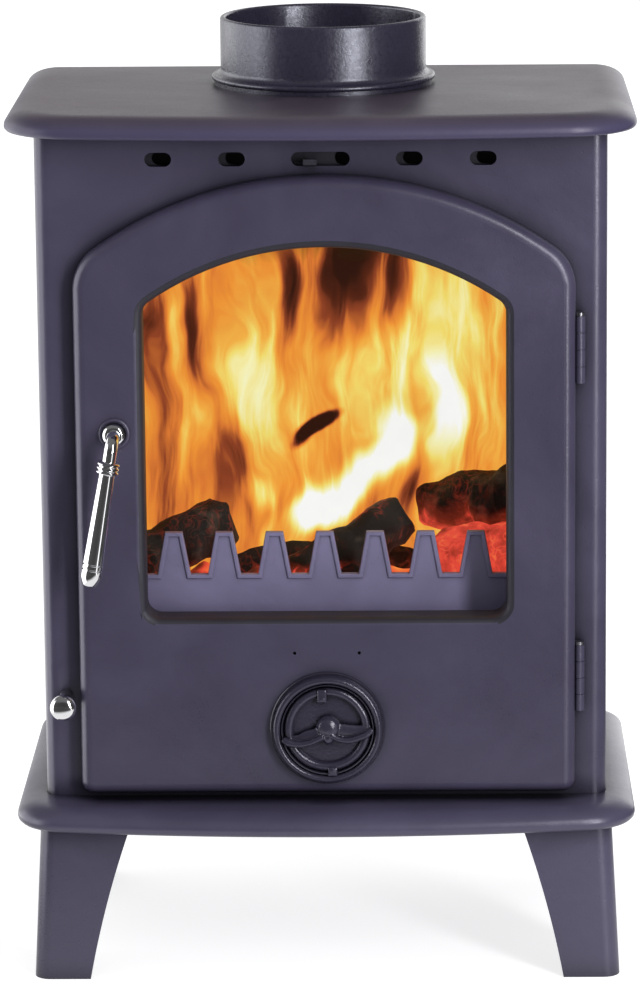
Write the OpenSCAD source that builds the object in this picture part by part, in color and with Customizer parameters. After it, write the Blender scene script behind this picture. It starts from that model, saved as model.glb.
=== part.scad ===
// Small cast-iron room heater: a box-shaped body between two bowed, roll-edged plates,
// with an arched glazed door, on four tapered legs.
// X runs across the front to the right, Y runs from front to back, Z is up.
// The origin is on the floor, under the middle of the plates.

/* [Plates] */
// Width of the top and base plates over their lips
plate_w = 378; // [370:1:390]
// Depth of the plates at their sides, over the lips
plate_d = 242; // [240:1:256]
// How far the front edge of the plates bows out in the middle
plate_bow = 17; // [12:1:22]
// Radius of the front corners of the top plate
top_corner_r = 48; // [40:1:60]
// Radius of the front corners of the base plate
base_corner_r = 34; // [28:1:44]
// Radius of the back corners of both plates
back_corner_r = 20; // [19:1:26]
// Thickness of the top plate
top_t = 13; // [12:0.5:16]
// How far in from the lip the edge of the top plate starts to roll down
top_roll = 18; // [14:0.5:18.5]
// How far the rolled edge of the top plate falls
top_roll_h = 10; // [8:0.5:11]
// Thickness of the base plate
base_t = 13.5; // [13:0.5:16]
// How far in from the lip the edge of the base plate starts to roll down
base_roll = 16; // [12:0.5:18]
// How far the rolled edge of the base plate falls
base_roll_h = 9; // [7:0.5:10]
// Depth of the pocket under the top plate that the body fits in
top_pocket = 4; // [2:0.5:5]
// Depth of the recess in the base plate that the body stands in
base_pocket = 2; // [1:0.5:4]

/* [Legs] */
// Height of the legs
leg_h = 96.5; // [80:0.5:120]
// Width of a leg at the top, on each face
leg_top_w = 56; // [50:1:60]
// Width of a leg at the floor, on each face
leg_foot_w = 35; // [28:1:40]
// How far a leg splays outwards on each face between top and floor
leg_splay = 5; // [0:0.5:8]
// Distance of the top of a leg inside the lip of the base plate
leg_inset = 14.5; // [12:0.5:16]
// Wall of a leg
leg_wall = 6; // [5:0.5:8]
// Radius of the outer edge of a leg
leg_edge_r = 10; // [8:0.5:12]
// Depth of the hollow curve along the inner edge of a leg
leg_curve = 2; // [1:0.5:3]
// Thickness of the bolting web inside the top of a leg
leg_web_t = 8; // [6:0.5:12]

/* [Body] */
// Width of the body
body_w = 343; // [338:1:346]
// Depth of the body
body_d = 192; // [188:1:196]
// Height of the body plates
body_h = 417; // [412:1:450]
// Distance of the front plate behind the side ends of the plates' front lip
front_setback = 33.5; // [31:0.5:35]
// Wall of the cast body plates
wall = 6; // [5:0.5:7]
// Depth of the turned-back sides of the front plate
front_return = 16; // [14:1:20]
// Radius of the upright edges of the front plate
front_edge_r = 9; // [8:0.5:12]
// How far the side plates stand inside the width of the body
side_inset = 1.5; // [1:0.25:3]

/* [Door opening] */
// How far the opening and the door lie to the right of the middle
door_shift = 1.5; // [0:0.5:3]
// Width of the opening in the front plate
opening_w = 268; // [262:1:270]
// Height of the lower edge of the opening above the base plate
opening_sill = 18; // [16:0.5:19]
// Height of the crown of the opening above the base plate
opening_crown = 370; // [364:1:372]
// Radius of the arch of the opening
opening_arch_r = 224; // [210:1:240]
// Radius of the shoulders of the opening
opening_shoulder_r = 16; // [10:1:24]

/* [Door] */
// Width of the door
door_w = 301; // [299:1:302]
// Gap between the base plate and the bottom of the door
door_gap = 4; // [3:0.5:6]
// Height of the door, from its bottom to the crown of its arch
door_h = 380.5; // [378:0.5:383]
// Radius of the arch of the door
door_arch_r = 238; // [225:1:250]
// Radius of the shoulders of the door
door_shoulder_r = 30; // [24:1:36]
// Radius of the bottom corners of the door
door_foot_r = 8; // [7.5:0.5:12]
// Thickness of the door at its rim
door_t = 12.5; // [12:0.5:16]
// Radius of the rolled front edge of the door
door_roll = 7; // [5:0.5:7]
// Gap between the back of the door and the front plate
door_stand = 1.5; // [1:0.25:2.5]
// Thickness of the door between its rim and its window frame
door_skin = 7.5; // [6.5:0.5:9]
// Width of the flat rim round the back of the door
door_rim = 17; // [16:0.5:18]
// Width of the groove for the sealing rope
rope_w = 8; // [7:0.5:8.5]
// Depth of the groove for the sealing rope
rope_depth = 5; // [4:0.5:5.5]
// Distance from the edge of the door to the rope groove
rope_inset = 5; // [4.5:0.5:6]

/* [Window] */
// Width of the window
window_w = 218; // [212:1:220]
// Height of the lower edge of the window above the base plate
window_sill = 114.5; // [113:0.5:120]
// Height of the window at the crown of its arch
window_h = 227; // [220:1:228]
// Radius of the arch of the window
window_arch_r = 185; // [175:1:200]
// Radius of the shoulders of the window
window_shoulder_r = 10; // [8:1:14]
// Radius of the bottom corners of the window
window_foot_r = 9; // [7:1:12]
// How far the window frame stands behind the back of the door
frame_depth = 7; // [5:0.5:8]
// Width of the window frame
frame_w = 8; // [7.5:0.25:8.5]
// Thickness of the glass
glass_t = 4; // [3:0.5:4.5]
// How far the glass overlaps the frame
glass_lap = 6.5; // [5:0.5:7]
// Thickness of the flat gasket under the glass
gasket_t = 1; // [0.8:0.1:1.5]

/* [Hinges] */
// Distance of the hinge axis to the right of the edge of the door
hinge_out = 2.5; // [2.4:0.1:3]
// Distance of the hinge axis in front of the front plate
hinge_front = 4.8; // [4.6:0.1:5.2]
// Height of the bottom of the lower hinge above the base plate
lower_hinge_z = 54.3; // [40:0.5:70]
// Height of the bottom of the upper hinge above the base plate
upper_hinge_z = 257.4; // [240:0.5:280]
// Height of one knuckle
knuckle_h = 10.3; // [9:0.1:12]
// Radius of the knuckles
knuckle_r = 3.4; // [3.2:0.1:3.6]
// Radius of the hinge pins
hinge_pin_r = 2; // [1.8:0.1:2.2]
// Thickness of the hinge leaves
leaf_t = 1.6; // [1.4:0.1:2]

/* [Handle] */
// Distance of the spindle from the left edge of the door
spindle_in = 24; // [23.5:0.25:24.5]
// Height of the spindle above the base plate
spindle_z = 229.5; // [215:0.5:250]
// Radius of the spindle
spindle_r = 5; // [4.5:0.25:5.25]
// Distance of the grip in front of the door
grip_reach = 20; // [17:0.5:24]
// Angle of the hanging grip from the vertical
grip_tilt = 9.5; // [0:0.5:12]
// Length of the handle from the spindle to the tip of the grip
grip_len = 90; // [80:1:96]
// Radius of the grip at its lower end
grip_r = 6.35; // [5.5:0.1:7]
// Radius of the grip at its upper end
grip_neck_r = 4.7; // [4:0.1:5.2]
// Length of the latch cam
cam_len = 22; // [20:0.5:24]

/* [Air controls] */
// Radius of the air wheel
wheel_r = 35; // [33:0.5:36]
// Height of the centre of the air wheel above the base plate
wheel_z = 46.2; // [42:0.2:48]
// Depth of the rim of the air wheel
wheel_t = 8; // [7:0.5:10]
// Radius of the wheel's stud
stud_r = 4; // [3.5:0.25:4.5]
// Length of the wheel's stud
stud_len = 24; // [22:0.5:25]
// Turn of the air wheel about its stud
wheel_turn = 8.5; // [0:0.5:20]
// Height of the upper air slots
slot_h = 8.5; // [7:0.5:9]
// Length of the side air slots
slot_w = 16; // [14:0.5:17]
// Length of the middle air slot
slot_mid_w = 35; // [32:0.5:36]
// Distance of the inner side slots from the middle
slot_x1 = 53; // [50:0.5:56]
// Distance of the outer side slots from the middle
slot_x2 = 97; // [94:0.5:99]
// Height of the air slots above the base plate
slot_z = 393.3; // [392:0.5:396]
// Thickness of the air slider
slider_t = 2; // [1.5:0.25:2.5]

/* [Grate and bricks] */
// Height of the top of the grate above the base plate
grate_z = 102; // [100:1:106]
// Thickness of the grate frame
grate_t = 8; // [7:0.5:10]
// Thickness of the riddling grate
riddle_t = 7; // [6:0.5:8]
// Thickness of the fire bricks
brick_t = 20; // [18:0.5:22]
// Height of the fire bricks
brick_h = 180; // [150:1:184]
// Thickness of the baffle
baffle_t = 10; // [8:0.5:12]
// Slope of the baffle
baffle_slope = 28; // [24:0.5:30]
// Height of the fire fence from its foot to its valleys
fence_bar_h = 31; // [28:0.5:36]
// Height of the teeth of the fire fence
fence_tooth_h = 26.4; // [22:0.2:30]
// Spacing of the teeth
fence_pitch = 30.8; // [30:0.1:32]
// Half the width of a tooth at its foot
fence_foot_w = 10.1; // [9:0.1:11]
// Half the width of a tooth at its top
fence_top_w = 5.3; // [4.5:0.1:6]
// Width of the raised border of the fence
fence_border = 2.6; // [2:0.1:3]
// Thickness of the fence
fence_t = 5; // [4:0.5:6]

/* [Riddling] */
// Distance of the riddling rod from the side of the body
riddle_in = 13.5; // [13:0.25:14]
// Height of the riddling rod above the base plate
riddle_z = 63.5; // [61.5:0.5:64]
// Radius of the riddling rod
riddle_rod_r = 4; // [3.5:0.25:4.5]
// Radius of the riddling knob
riddle_knob_r = 7.6; // [6.5:0.1:7.6]
// Distance of the face of the riddling knob in front of the front plate
riddle_reach = 34; // [30:1:40]

/* [Ash pan] */
// Width of the ash pan
pan_w = 204; // [190:1:210]
// Length of the ash pan
pan_len = 146; // [135:1:148]
// Height of the ash pan
pan_h = 36; // [30:0.5:37]
// Height of the runners under the ash pan
runner_h = 20; // [19.5:0.5:21]
// Wall of the ash pan
pan_wall = 1.5; // [1:0.25:2]

/* [Flue] */
// Outer radius of the flue collar
flue_r = 63.5; // [62:0.25:65]
// Bore radius of the flue collar
flue_bore_r = 60; // [58:0.25:60.5]
// Height of the flue collar above the top plate
flue_h = 41.5; // [38:0.5:60]
// Distance of the flue collar behind the middle of the plates
flue_back = 28; // [24:0.5:29]
// Width of the foot flange of the collar
flue_flange_w = 5.5; // [5:0.25:7]
// Thickness of the foot flange of the collar
flue_flange_t = 3.5; // [3:0.25:4.5]
// Height of the seat ring that holds the flange off the top plate
flue_seat_t = 2.5; // [1:0.25:3]
// Height of the middle of the rear outlet above the base plate
rear_flue_z = 345; // [340:1:348]

/* [Hidden] */
$fn = 48;

// Clearances
touch = 0.3;     // between pieces that slide or rest near each other
run = 0.05;      // radial play of a shaft in its bore
cut = 1;         // how far a cutting shape runs past a face

// Facets of the plates' and the door's edges
corner_max = 100; // arcs with a smaller radius than this are corners
corner_steps = 9;
bow_steps = 40;
foot_steps = 3;
roll_steps = 8;
bend_steps = 8;
rod_sides = 24;

// Heights of the stack
base_z = leg_h;
base_top = base_z + base_t;
body_z = base_top - base_pocket;
body_top = body_z + body_h;
top_z = body_top - top_pocket;
top_top = top_z + top_t;

// Depths
mid_y = plate_bow / 2; // middle of the plates' sides
front_y = mid_y - plate_d / 2 + front_setback;
back_y = front_y + body_d;
inner_front = front_y + wall;
inner_back = back_y - wall;
side_out = body_w / 2 - side_inset;
inner_side = side_out - wall;
door_back = front_y - door_stand;
door_face = door_back - door_t;

// Places on the front
door_half = door_w / 2;
door_left = door_shift - door_half;
door_right = door_shift + door_half;
door_z = base_top + door_gap;
window_z = base_top + window_sill;
hinge_x = door_right + hinge_out;
hinge_y = front_y - hinge_front;
spindle_x = door_left + spindle_in;
spindle_zz = base_top + spindle_z;
wheel_zz = base_top + wheel_z;
slot_zz = base_top + slot_z;
slot_xs = [-slot_x2, -slot_x1, slot_x1, slot_x2];
riddle_x = -body_w / 2 + riddle_in;
riddle_zz = base_top + riddle_z;

// Back of the window frame, and what lies behind it
frame_back = door_back + frame_depth;
glass_y = frame_back + gasket_t;
clip_y = glass_y + glass_t;

// Grate and what stands on it
grate_top = base_top + grate_z;
grate_under = grate_top - grate_t;
ledge_w = 10;
ledge_t = 8;
grate_half = inner_side - 4;
grate_front = inner_front + 15;
grate_back = inner_back - 12;
bar_pitch = 16;
bar_slot = 8;
bar_count = 6;
bar_half = 92;
bar_rib = 4;
bar_front = inner_front + 53.5;
fence_front = grate_front + 3;
fence_half = 134;
fence_end = 20;
fence_teeth = 7;
brick_front = fence_front + fence_t + 5;
brick_edge = 2;

// Riddling grate and its guides
riddle_top = grate_under - touch;
riddle_under = riddle_top - riddle_t;
riddle_half = 100;
riddle_front = bar_front - 8;
riddle_len = bar_count * bar_pitch;
riddle_travel = 25;
guide_w = 5;
guide_lip = 4;
guide_lip_t = 4;
link_y = inner_front + 95.5;
link_w = 10;
link_t = 9;
link_end_r = 3;
riser_x = -riddle_half + 6;
riser_w = 8;
knob_t = 8;

// Ash pan
pan_front = inner_front + 14;
pan_z = base_top + runner_h + touch;
pan_handle_r = 2.5;
pan_handle_half = 24;
pan_handle_out = 13;
runner_x = 80;
runner_w = 8;

// Tie rods stand in the four corners
tie_r = 3;
tie_hole_r = 3.4;
tie_x = inner_side - 14;
tie_front = inner_front + 10;
tie_rear = inner_back - 18.5;
tie_depth = 5;
tie_nut_t = 5;
bolt_r = 3;
bolt_head_r = 5.5;
bolt_head_t = 4;
bolt_play = 0.5; // room beyond the end of a bolt in a blind hole

// Legs
leg_out_x = plate_w / 2 - leg_inset;
leg_out_y = plate_d / 2 - leg_inset;
leg_web_x = 23;
leg_web_y = 12.5;
leg_bolt_x = leg_out_x - leg_wall - 9;
leg_bolt_y = leg_out_y - leg_wall - 6;
leg_thread = 8; // depth of the holes that the leg bolts screw into
leg_edge_steps = 8;
leg_bite = 0.4; // how far the curve runs past the inner corner of the foot

// Baffle
baffle_len = 128;
baffle_half = inner_side - 6;
baffle_y = inner_back - touch - baffle_t * sin(baffle_slope);
baffle_zz = grate_top + brick_h + 1;
lug_w = 12;
lug_t = 7;

// Air slider
slider_front = inner_front + touch;
slider_half = 116;
slider_open = 4;
slider_edge = 4.5;
slider_low = slot_zz - slot_h / 2 - slider_edge;
slider_high = slot_zz + slot_h / 2 + slider_edge;
rail_half = 128;
rail_t = 1.5;
rail_lap = 2.5;
rail_foot = 4;
tab_w = 8;
tab_t = 2;
tab_x = -10.3;
tab_reach = 4;
tab_lip = 3.5;
airwash_t = 2;
airwash_gap = 14;
airwash_low = slot_zz - 18;
airwash_high = slot_zz + 15;

// Window clips
clip_out = frame_w + 6.5;
clip_x = 70;
clip_lean = 22;
clip_w = 14;
clip_t = 1.5;
clip_boss_r = 4.6;
clip_screw_r = 2;
window_arch_z = window_z + window_h - window_arch_r;
clip_arch = window_arch_r + clip_out;
clip_spots = [
  [door_shift - clip_x, window_z - clip_out, 0],
  [door_shift + clip_x, window_z - clip_out, 0],
  [door_shift + clip_arch * sin(clip_lean), window_arch_z + clip_arch * cos(clip_lean), 180 - clip_lean],
  [door_shift - clip_arch * sin(clip_lean), window_arch_z + clip_arch * cos(clip_lean), 180 + clip_lean]
];

// Handle and latch
boss_r = 6.6;
boss_t = 5;
boss_wall = 2;
rod_root = 1; // how far the handle's rod runs into its boss
rod_r = 4;
bend_r = 8;
rose_r = 9;
rose_t = 2;
spindle_end_r = 3;
spindle_boss_r = 10.5;
cam_y = inner_front + 1;
cam_t = 4;
cam_hub_r = 6.5;
cam_lean = 10;
cam_tip_r = 5;
cam_nut_t = 4.5;
collar_start = 13.5;
collar_ring = 2.1;
collar_r = 6.8;
grip_start = 20.5;

// Air wheel
wheel_x = door_shift;
wheel_boss_r = 10;
wheel_back = door_face - touch;
stud_front = wheel_back - 7;
vent_r = 4.5;
vent_ring_r = 19;
bead_r = 24;
badge_z = base_top + 93;
badge_half = 19.6;
badge_hole_r = 1;

// Hinges: knuckles 0 and 2 from the bottom are the door's, 1 and 3 the frame's
hinge_h = 4 * knuckle_h;
knuckle_gap = 0.15;
leaf_reach = 7.5;
leaf_depth = 5;
web_w = 4;
pin_head_r = knuckle_r - 0.2;
pin_head_h = 2;

// Flue
flue_y = mid_y + flue_back;
flue_stop_w = 1.5; // width of the ledge that an inner pipe stands on
hole_r = flue_bore_r - flue_stop_w;
lug_r = 8;
lug_ring_r = 49;
lug_h = 7;
lug_thread = 5.5; // depth of the holes that the collar bolts screw into
collar_angles = [90, 210, 330];
rear_hole_r = 56;
rear_cover_r = 62;
rear_cover_t = 5;
rear_ear_x = 68;
rear_ear_r = 9;
rear_zz = base_top + rear_flue_z;

top_outline = bowed_outline(plate_w, plate_d, plate_bow, top_corner_r, back_corner_r);
base_outline = bowed_outline(plate_w, plate_d, plate_bow, base_corner_r, back_corner_r);

iron = [0.27, 0.25, 0.32];
iron_light = [0.36, 0.34, 0.42];
steel = [0.6, 0.6, 0.62];
chrome = [0.85, 0.85, 0.87];
brick = [0.78, 0.70, 0.58];
rope = [0.2, 0.2, 0.2];

// ---- Outlines -------------------------------------------------------------
// An outline is a list of arcs [centre x, centre y, radius, start angle, end angle] in
// anticlockwise order. Straight edges join each arc to the next one.

function arc_point(arc, inset, angle) =
  [arc[0] + (arc[2] - inset) * cos(angle), arc[1] + (arc[2] - inset) * sin(angle)];

// A rectangle with an arched top, as the door, its window and the opening have
function arched_outline(mid, half, foot_z, crown_z, arch_r, shoulder_r, foot_r) =
  let (
    arch_z = crown_z - arch_r,
    shoulder_z = arch_z + sqrt(pow(arch_r - shoulder_r, 2) - pow(half - shoulder_r, 2)),
    lean = asin((half - shoulder_r) / (arch_r - shoulder_r))
  )
  [
    [mid + half - foot_r, foot_z + foot_r, foot_r, -90, 0],
    [mid + half - shoulder_r, shoulder_z, shoulder_r, 0, 90 - lean],
    [mid, arch_z, arch_r, 90 - lean, 90 + lean],
    [mid - half + shoulder_r, shoulder_z, shoulder_r, 90 + lean, 180],
    [mid - half + foot_r, foot_z + foot_r, foot_r, 180, 270]
  ];

// A plan with round corners and a front edge that bows out
function bowed_outline(w, d, bow, r, back_r) =
  let (
    half = w / 2,
    back = (d + bow) / 2,
    bow_r = (half * half + bow * bow) / (2 * bow),
    bow_y = bow_r - back,
    corner_y = bow_y - sqrt(pow(bow_r - r, 2) - pow(half - r, 2)),
    lean = asin((half - r) / (bow_r - r))
  )
  [
    [half - back_r, back - back_r, back_r, 0, 90],
    [-half + back_r, back - back_r, back_r, 90, 180],
    [-half + r, corner_y, r, 180, 270 - lean],
    [0, bow_y, bow_r, 270 - lean, 270 + lean],
    [half - r, corner_y, r, 270 + lean, 360]
  ];

module fill_outline(arcs, inset = 0) {
  polygon([for (arc = arcs) each [arc_point(arc, inset, arc[3]), arc_point(arc, inset, arc[4])]]);
  for (arc = arcs) {
    middle = (arc[3] + arc[4]) / 2;
    reach = (arc[2] - inset) * (1 - cos((arc[4] - arc[3]) / 2)) + cut;
    out = [reach * cos(middle), reach * sin(middle)];
    from = arc_point(arc, inset, arc[3]);
    to = arc_point(arc, inset, arc[4]);
    intersection() {
      translate([arc[0], arc[1]])
        circle(r = arc[2] - inset);
      polygon([from, to, to + out, from + out]);
    }
  }
}

// One level of a plate: its outline at an inset, as points
function level_points(arcs, inset, z) = [
  for (arc = arcs)
    let (steps = arc[2] < corner_max ? corner_steps : bow_steps)
    for (i = [0:steps])
      let (at = arc_point(arc, inset, arc[3] + (arc[4] - arc[3]) * i / steps))
      [at[0], at[1], z]
];

// A solid skinned over levels with the same number of points, from the lowest to the
// highest, each anticlockwise when seen from the last one
module stacked(levels) {
  n = len(levels[0]);
  top = (len(levels) - 1) * n;
  polyhedron(
    points = [for (level = levels) each level],
    faces = [
      [for (j = [0:n - 1]) j],
      [for (j = [n - 1:-1:0]) top + j],
      for (k = [0:len(levels) - 2], j = [0:n - 1])
        let (a = k * n + j, b = k * n + (j + 1) % n)
        [a, a + n, b + n, b]
    ]
  );
}

// A plate whose edge is a profile carried round its outline. The profile runs from below
// upwards, as [distance inside the outline, height] points.
module edged_plate(arcs, edge) {
  stacked([for (e = edge) level_points(arcs, e[0], e[1])]);
}

// Stands a front view up: its thickness runs from y towards the front
module upright(y) {
  translate([0, y, 0])
    rotate([90, 0, 0])
      children();
}

// A shaft or bore along Y, from y to y + length
module shaft(x, y, z, r, length) {
  translate([x, y + length, z])
    rotate([90, 0, 0])
      cylinder(r = r, h = length);
}

module hex_head(r, h) {
  cylinder(r = r, h = h, $fn = 6);
}

// ---- Plates ---------------------------------------------------------------

// Edge of a plate: a quarter round under the lip, then a long roll up to the flat top
function rolled_edge(roll, rise, t) =
  let (foot = t - rise)
  [
    for (i = [0:foot_steps])
      let (a = 90 * i / foot_steps)
      [foot * (1 - sin(a)), foot * (1 - cos(a))],
    for (i = [1:roll_steps])
      let (a = 90 * i / roll_steps)
      [roll * (1 - cos(a)), foot + rise * sin(a)]
  ];

// Plan of the whole body, with the round upright edges of the front plate
module body_plan(grow) {
  half = body_w / 2 + grow;
  r = front_edge_r + grow;
  translate([-half, front_y - grow + r])
    square([2 * half, body_d + 2 * grow - r]);
  translate([-half + r, front_y - grow])
    square([2 * (half - r), r + cut]);
  for (side = [-1, 1])
    translate([side * (half - r), front_y - grow + r])
      circle(r = r);
}

module base_plate() {
  color(iron) {
    difference() {
      translate([0, 0, base_z])
        edged_plate(base_outline, rolled_edge(base_roll, base_roll_h, base_t));
      translate([0, 0, body_z])
        linear_extrude(base_pocket + cut)
          body_plan(touch);
      for (x = [-tie_x, tie_x], y = [tie_front, tie_rear])
        translate([x, y, base_z - cut])
          cylinder(r = tie_hole_r, h = base_t + 2 * cut);
      // Blind holes that the leg bolts screw into
      for (x = [-leg_bolt_x, leg_bolt_x], y = [mid_y - leg_bolt_y, mid_y + leg_bolt_y])
        translate([x, y, base_z - cut])
          cylinder(r = bolt_r + touch, h = leg_thread + cut);
    }
    // Runners that the ash pan slides on
    for (side = [-1, 1])
      translate([side * runner_x - runner_w / 2, pan_front, body_z])
        cube([runner_w, pan_len, base_pocket + runner_h]);
  }
}

module top_plate() {
  color(iron_light)
    difference() {
      translate([0, 0, top_z])
        edged_plate(top_outline, rolled_edge(top_roll, top_roll_h, top_t));
      translate([0, 0, top_z - cut])
        linear_extrude(top_pocket + cut)
          body_plan(touch);
      difference() {
        translate([0, flue_y, top_z - cut])
          cylinder(r = hole_r, h = top_t + 2 * cut, $fn = 96);
        collar_lugs(top_z, top_t);
      }
      for (angle = collar_angles)
        translate([0, flue_y, 0])
          rotate([0, 0, angle])
            translate([lug_ring_r, 0, top_z - cut])
              cylinder(r = bolt_r + touch, h = top_t + 2 * cut);
      // Blind holes that the tie rods screw into
      for (x = [-tie_x, tie_x], y = [tie_front, tie_rear])
        translate([x, y, top_z])
          cylinder(r = tie_r + run, h = top_pocket + tie_depth);
    }
}

// ---- Legs -----------------------------------------------------------------

// One level of a leg: a square with a round outer corner, as points, anticlockwise
function leg_level(z, out, w, inset) =
  let (low = inset - out, r = leg_edge_r - inset)
  [
    for (i = [0:leg_edge_steps])
      let (a = 180 + 90 * i / leg_edge_steps)
      [low + r + r * cos(a), low + r + r * sin(a), z],
    [low + w, low, z],
    [low + w, low + w, z],
    [low, low + w, z]
  ];

// The leg's outer corner is at the origin of X and Y, and the leg runs inwards
module leg_shape(inset, foot_w, top_w) {
  low = leg_level(-inset, leg_splay, foot_w, inset);
  high = leg_level(leg_h + inset, 0, top_w, inset);
  n = len(low);
  polyhedron(
    points = concat(low, high),
    faces = [
      [for (j = [0:n - 1]) j],
      [for (j = [n - 1:-1:0]) n + j],
      for (j = [0:n - 1])
        let (k = (j + 1) % n)
        [j, j + n, k + n, k]
    ]
  );
}

module leg_curve_cut() {
  chord = norm([leg_h, leg_top_w - leg_foot_w + leg_splay]);
  curve_r = (chord * chord / 4 + leg_curve * leg_curve) / (2 * leg_curve);
  lean = atan2(leg_top_w - leg_foot_w + leg_splay, leg_h);
  translate([(leg_foot_w - leg_splay + leg_top_w) / 2, leg_top_w + cut, leg_h / 2])
    rotate([0, lean, 0])
      translate([curve_r - leg_curve - leg_bite, 0, 0])
        rotate([90, 0, 0])
          cylinder(r = curve_r, h = leg_top_w + leg_splay + 3 * cut, $fn = 180);
}

module leg() {
  color(iron)
    difference() {
      leg_shape(0, leg_foot_w, leg_top_w);
      difference() {
        leg_shape(leg_wall, leg_foot_w + leg_top_w, 2 * leg_top_w);
        translate([leg_wall - cut, leg_wall - cut, leg_h - leg_web_t])
          cube([leg_web_x, leg_web_y, leg_web_t + 2 * leg_wall]);
      }
      leg_curve_cut();
      mirror([1, -1, 0])
        leg_curve_cut();
      translate([leg_out_x - leg_bolt_x, leg_out_y - leg_bolt_y, leg_h - leg_web_t - cut])
        cylinder(r = bolt_r + touch, h = leg_web_t + 2 * cut);
    }
}
module leg_front_left() {
  translate([-leg_out_x, mid_y - leg_out_y, 0])
    leg();
}

module leg_front_right() {
  translate([leg_out_x, mid_y - leg_out_y, 0])
    mirror([1, 0, 0])
      leg();
}

module leg_rear_left() {
  translate([-leg_out_x, mid_y + leg_out_y, 0])
    mirror([0, 1, 0])
      leg();
}

module leg_rear_right() {
  translate([leg_out_x, mid_y + leg_out_y, 0])
    rotate([0, 0, 180])
      leg();
}

module leg_bolts() {
  color(steel)
    for (x = [-leg_bolt_x, leg_bolt_x], y = [mid_y - leg_bolt_y, mid_y + leg_bolt_y])
      translate([x, y, 0]) {
        translate([0, 0, leg_h - leg_web_t - bolt_head_t])
          hex_head(bolt_head_r, bolt_head_t);
        translate([0, 0, leg_h - leg_web_t])
          cylinder(r = bolt_r, h = leg_web_t + leg_thread - bolt_play);
      }
}

// ---- Body -----------------------------------------------------------------

function door_shape(inset) =
  arched_outline(door_shift, door_half - inset, door_z + inset, door_z + door_h - inset,
    door_arch_r - inset, door_shoulder_r - inset, max(door_foot_r - inset, 0.8));

function window_shape(inset) =
  arched_outline(door_shift, window_w / 2 - inset, window_z + inset, window_z + window_h - inset,
    window_arch_r - inset, window_shoulder_r - inset, window_foot_r - inset);

function opening_shape() =
  arched_outline(door_shift, opening_w / 2, base_top + opening_sill, base_top + opening_crown,
    opening_arch_r, opening_shoulder_r, 4);

// A level slot with round ends, cut from y towards the front
module slot_cut(x, w, depth) {
  upright(inner_front + cut)
    linear_extrude(depth + 2 * cut)
      translate([x, slot_zz]) {
        square([w - slot_h, slot_h], center = true);
        for (end = [-1, 1])
          translate([end * (w - slot_h) / 2, 0])
            circle(d = slot_h);
      }
}

module front_plate() {
  inner_r = front_edge_r - wall;
  color(iron)
    difference() {
      translate([0, 0, body_z])
        linear_extrude(body_h)
          difference() {
            intersection() {
              body_plan(0);
              translate([-body_w, front_y - cut])
                square([2 * body_w, front_return + cut]);
            }
            translate([-body_w / 2 + wall, inner_front + inner_r])
              square([body_w - 2 * wall, body_d]);
            translate([-body_w / 2 + wall + inner_r, inner_front])
              square([body_w - 2 * wall - 2 * inner_r, body_d]);
            for (side = [-1, 1])
              translate([side * (body_w / 2 - wall - inner_r), inner_front + inner_r])
                circle(r = inner_r);
          }
      upright(inner_front + cut)
        linear_extrude(wall + 2 * cut)
          fill_outline(opening_shape());
      for (x = slot_xs)
        slot_cut(x, slot_w, wall);
      slot_cut(0, slot_mid_w, wall);
      shaft(riddle_x, front_y - cut, riddle_zz, riddle_rod_r + run, wall + 2 * cut);
      for (z = [base_top + lower_hinge_z, base_top + upper_hinge_z])
        translate([hinge_x - web_w / 2, front_y - cut, z])
          cube([leaf_reach + web_w / 2, leaf_t + cut, hinge_h]);
    }
}

module on_slope() {
  translate([0, baffle_y, baffle_zz])
    rotate([-baffle_slope, 0, 0])
      children();
}

// The right-hand plate, with the ledge for the grate and the lug for the baffle
module side_plate() {
  side_front = front_y + front_return;
  color(iron) {
    translate([inner_side, side_front, body_z])
      cube([wall, inner_back - side_front, body_h]);
    translate([inner_side - ledge_w, grate_front, grate_under - ledge_t])
      cube([ledge_w + cut, grate_back - grate_front, ledge_t]);
    on_slope()
      translate([inner_side - lug_w, -baffle_len + 12, -lug_t])
        cube([lug_w + cut, baffle_len - 40, lug_t]);
  }
}

module right_side_plate() {
  side_plate();
}

module left_side_plate() {
  mirror([1, 0, 0])
    side_plate();
}

module back_plate() {
  color(iron)
    difference() {
      translate([-body_w / 2, inner_back, body_z])
        cube([body_w, wall, body_h]);
      shaft(0, inner_back - cut, rear_zz, rear_hole_r, wall + 2 * cut);
      for (side = [-1, 1])
        shaft(side * rear_ear_x, inner_back - cut, rear_zz, bolt_r + run, wall + 2 * cut);
    }
}

module tie_rods() {
  rod_low = base_z - tie_nut_t - 2;
  color(steel)
    for (x = [-tie_x, tie_x], y = [tie_front, tie_rear])
      translate([x, y, rod_low])
        cylinder(r = tie_r, h = top_z + top_pocket + tie_depth - touch - rod_low);
}

module tie_nuts() {
  color(steel)
    for (x = [-tie_x, tie_x], y = [tie_front, tie_rear])
      translate([x, y, base_z - tie_nut_t])
        difference() {
          hex_head(bolt_head_r, tie_nut_t);
          translate([0, 0, -cut])
            cylinder(r = tie_r + run, h = tie_nut_t + 2 * cut);
        }
}

// ---- Flue -----------------------------------------------------------------

// Ears inside the flue opening that the collar bolts go through
module collar_lugs(z, t) {
  for (angle = collar_angles)
    translate([0, flue_y, z - 2 * cut])
      rotate([0, 0, angle]) {
        translate([lug_ring_r, 0, 0])
          cylinder(r = lug_r, h = t + 4 * cut);
        translate([lug_ring_r, -lug_r, 0])
          cube([lug_r + 2 * cut, 2 * lug_r, t + 4 * cut]);
      }
}

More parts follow.
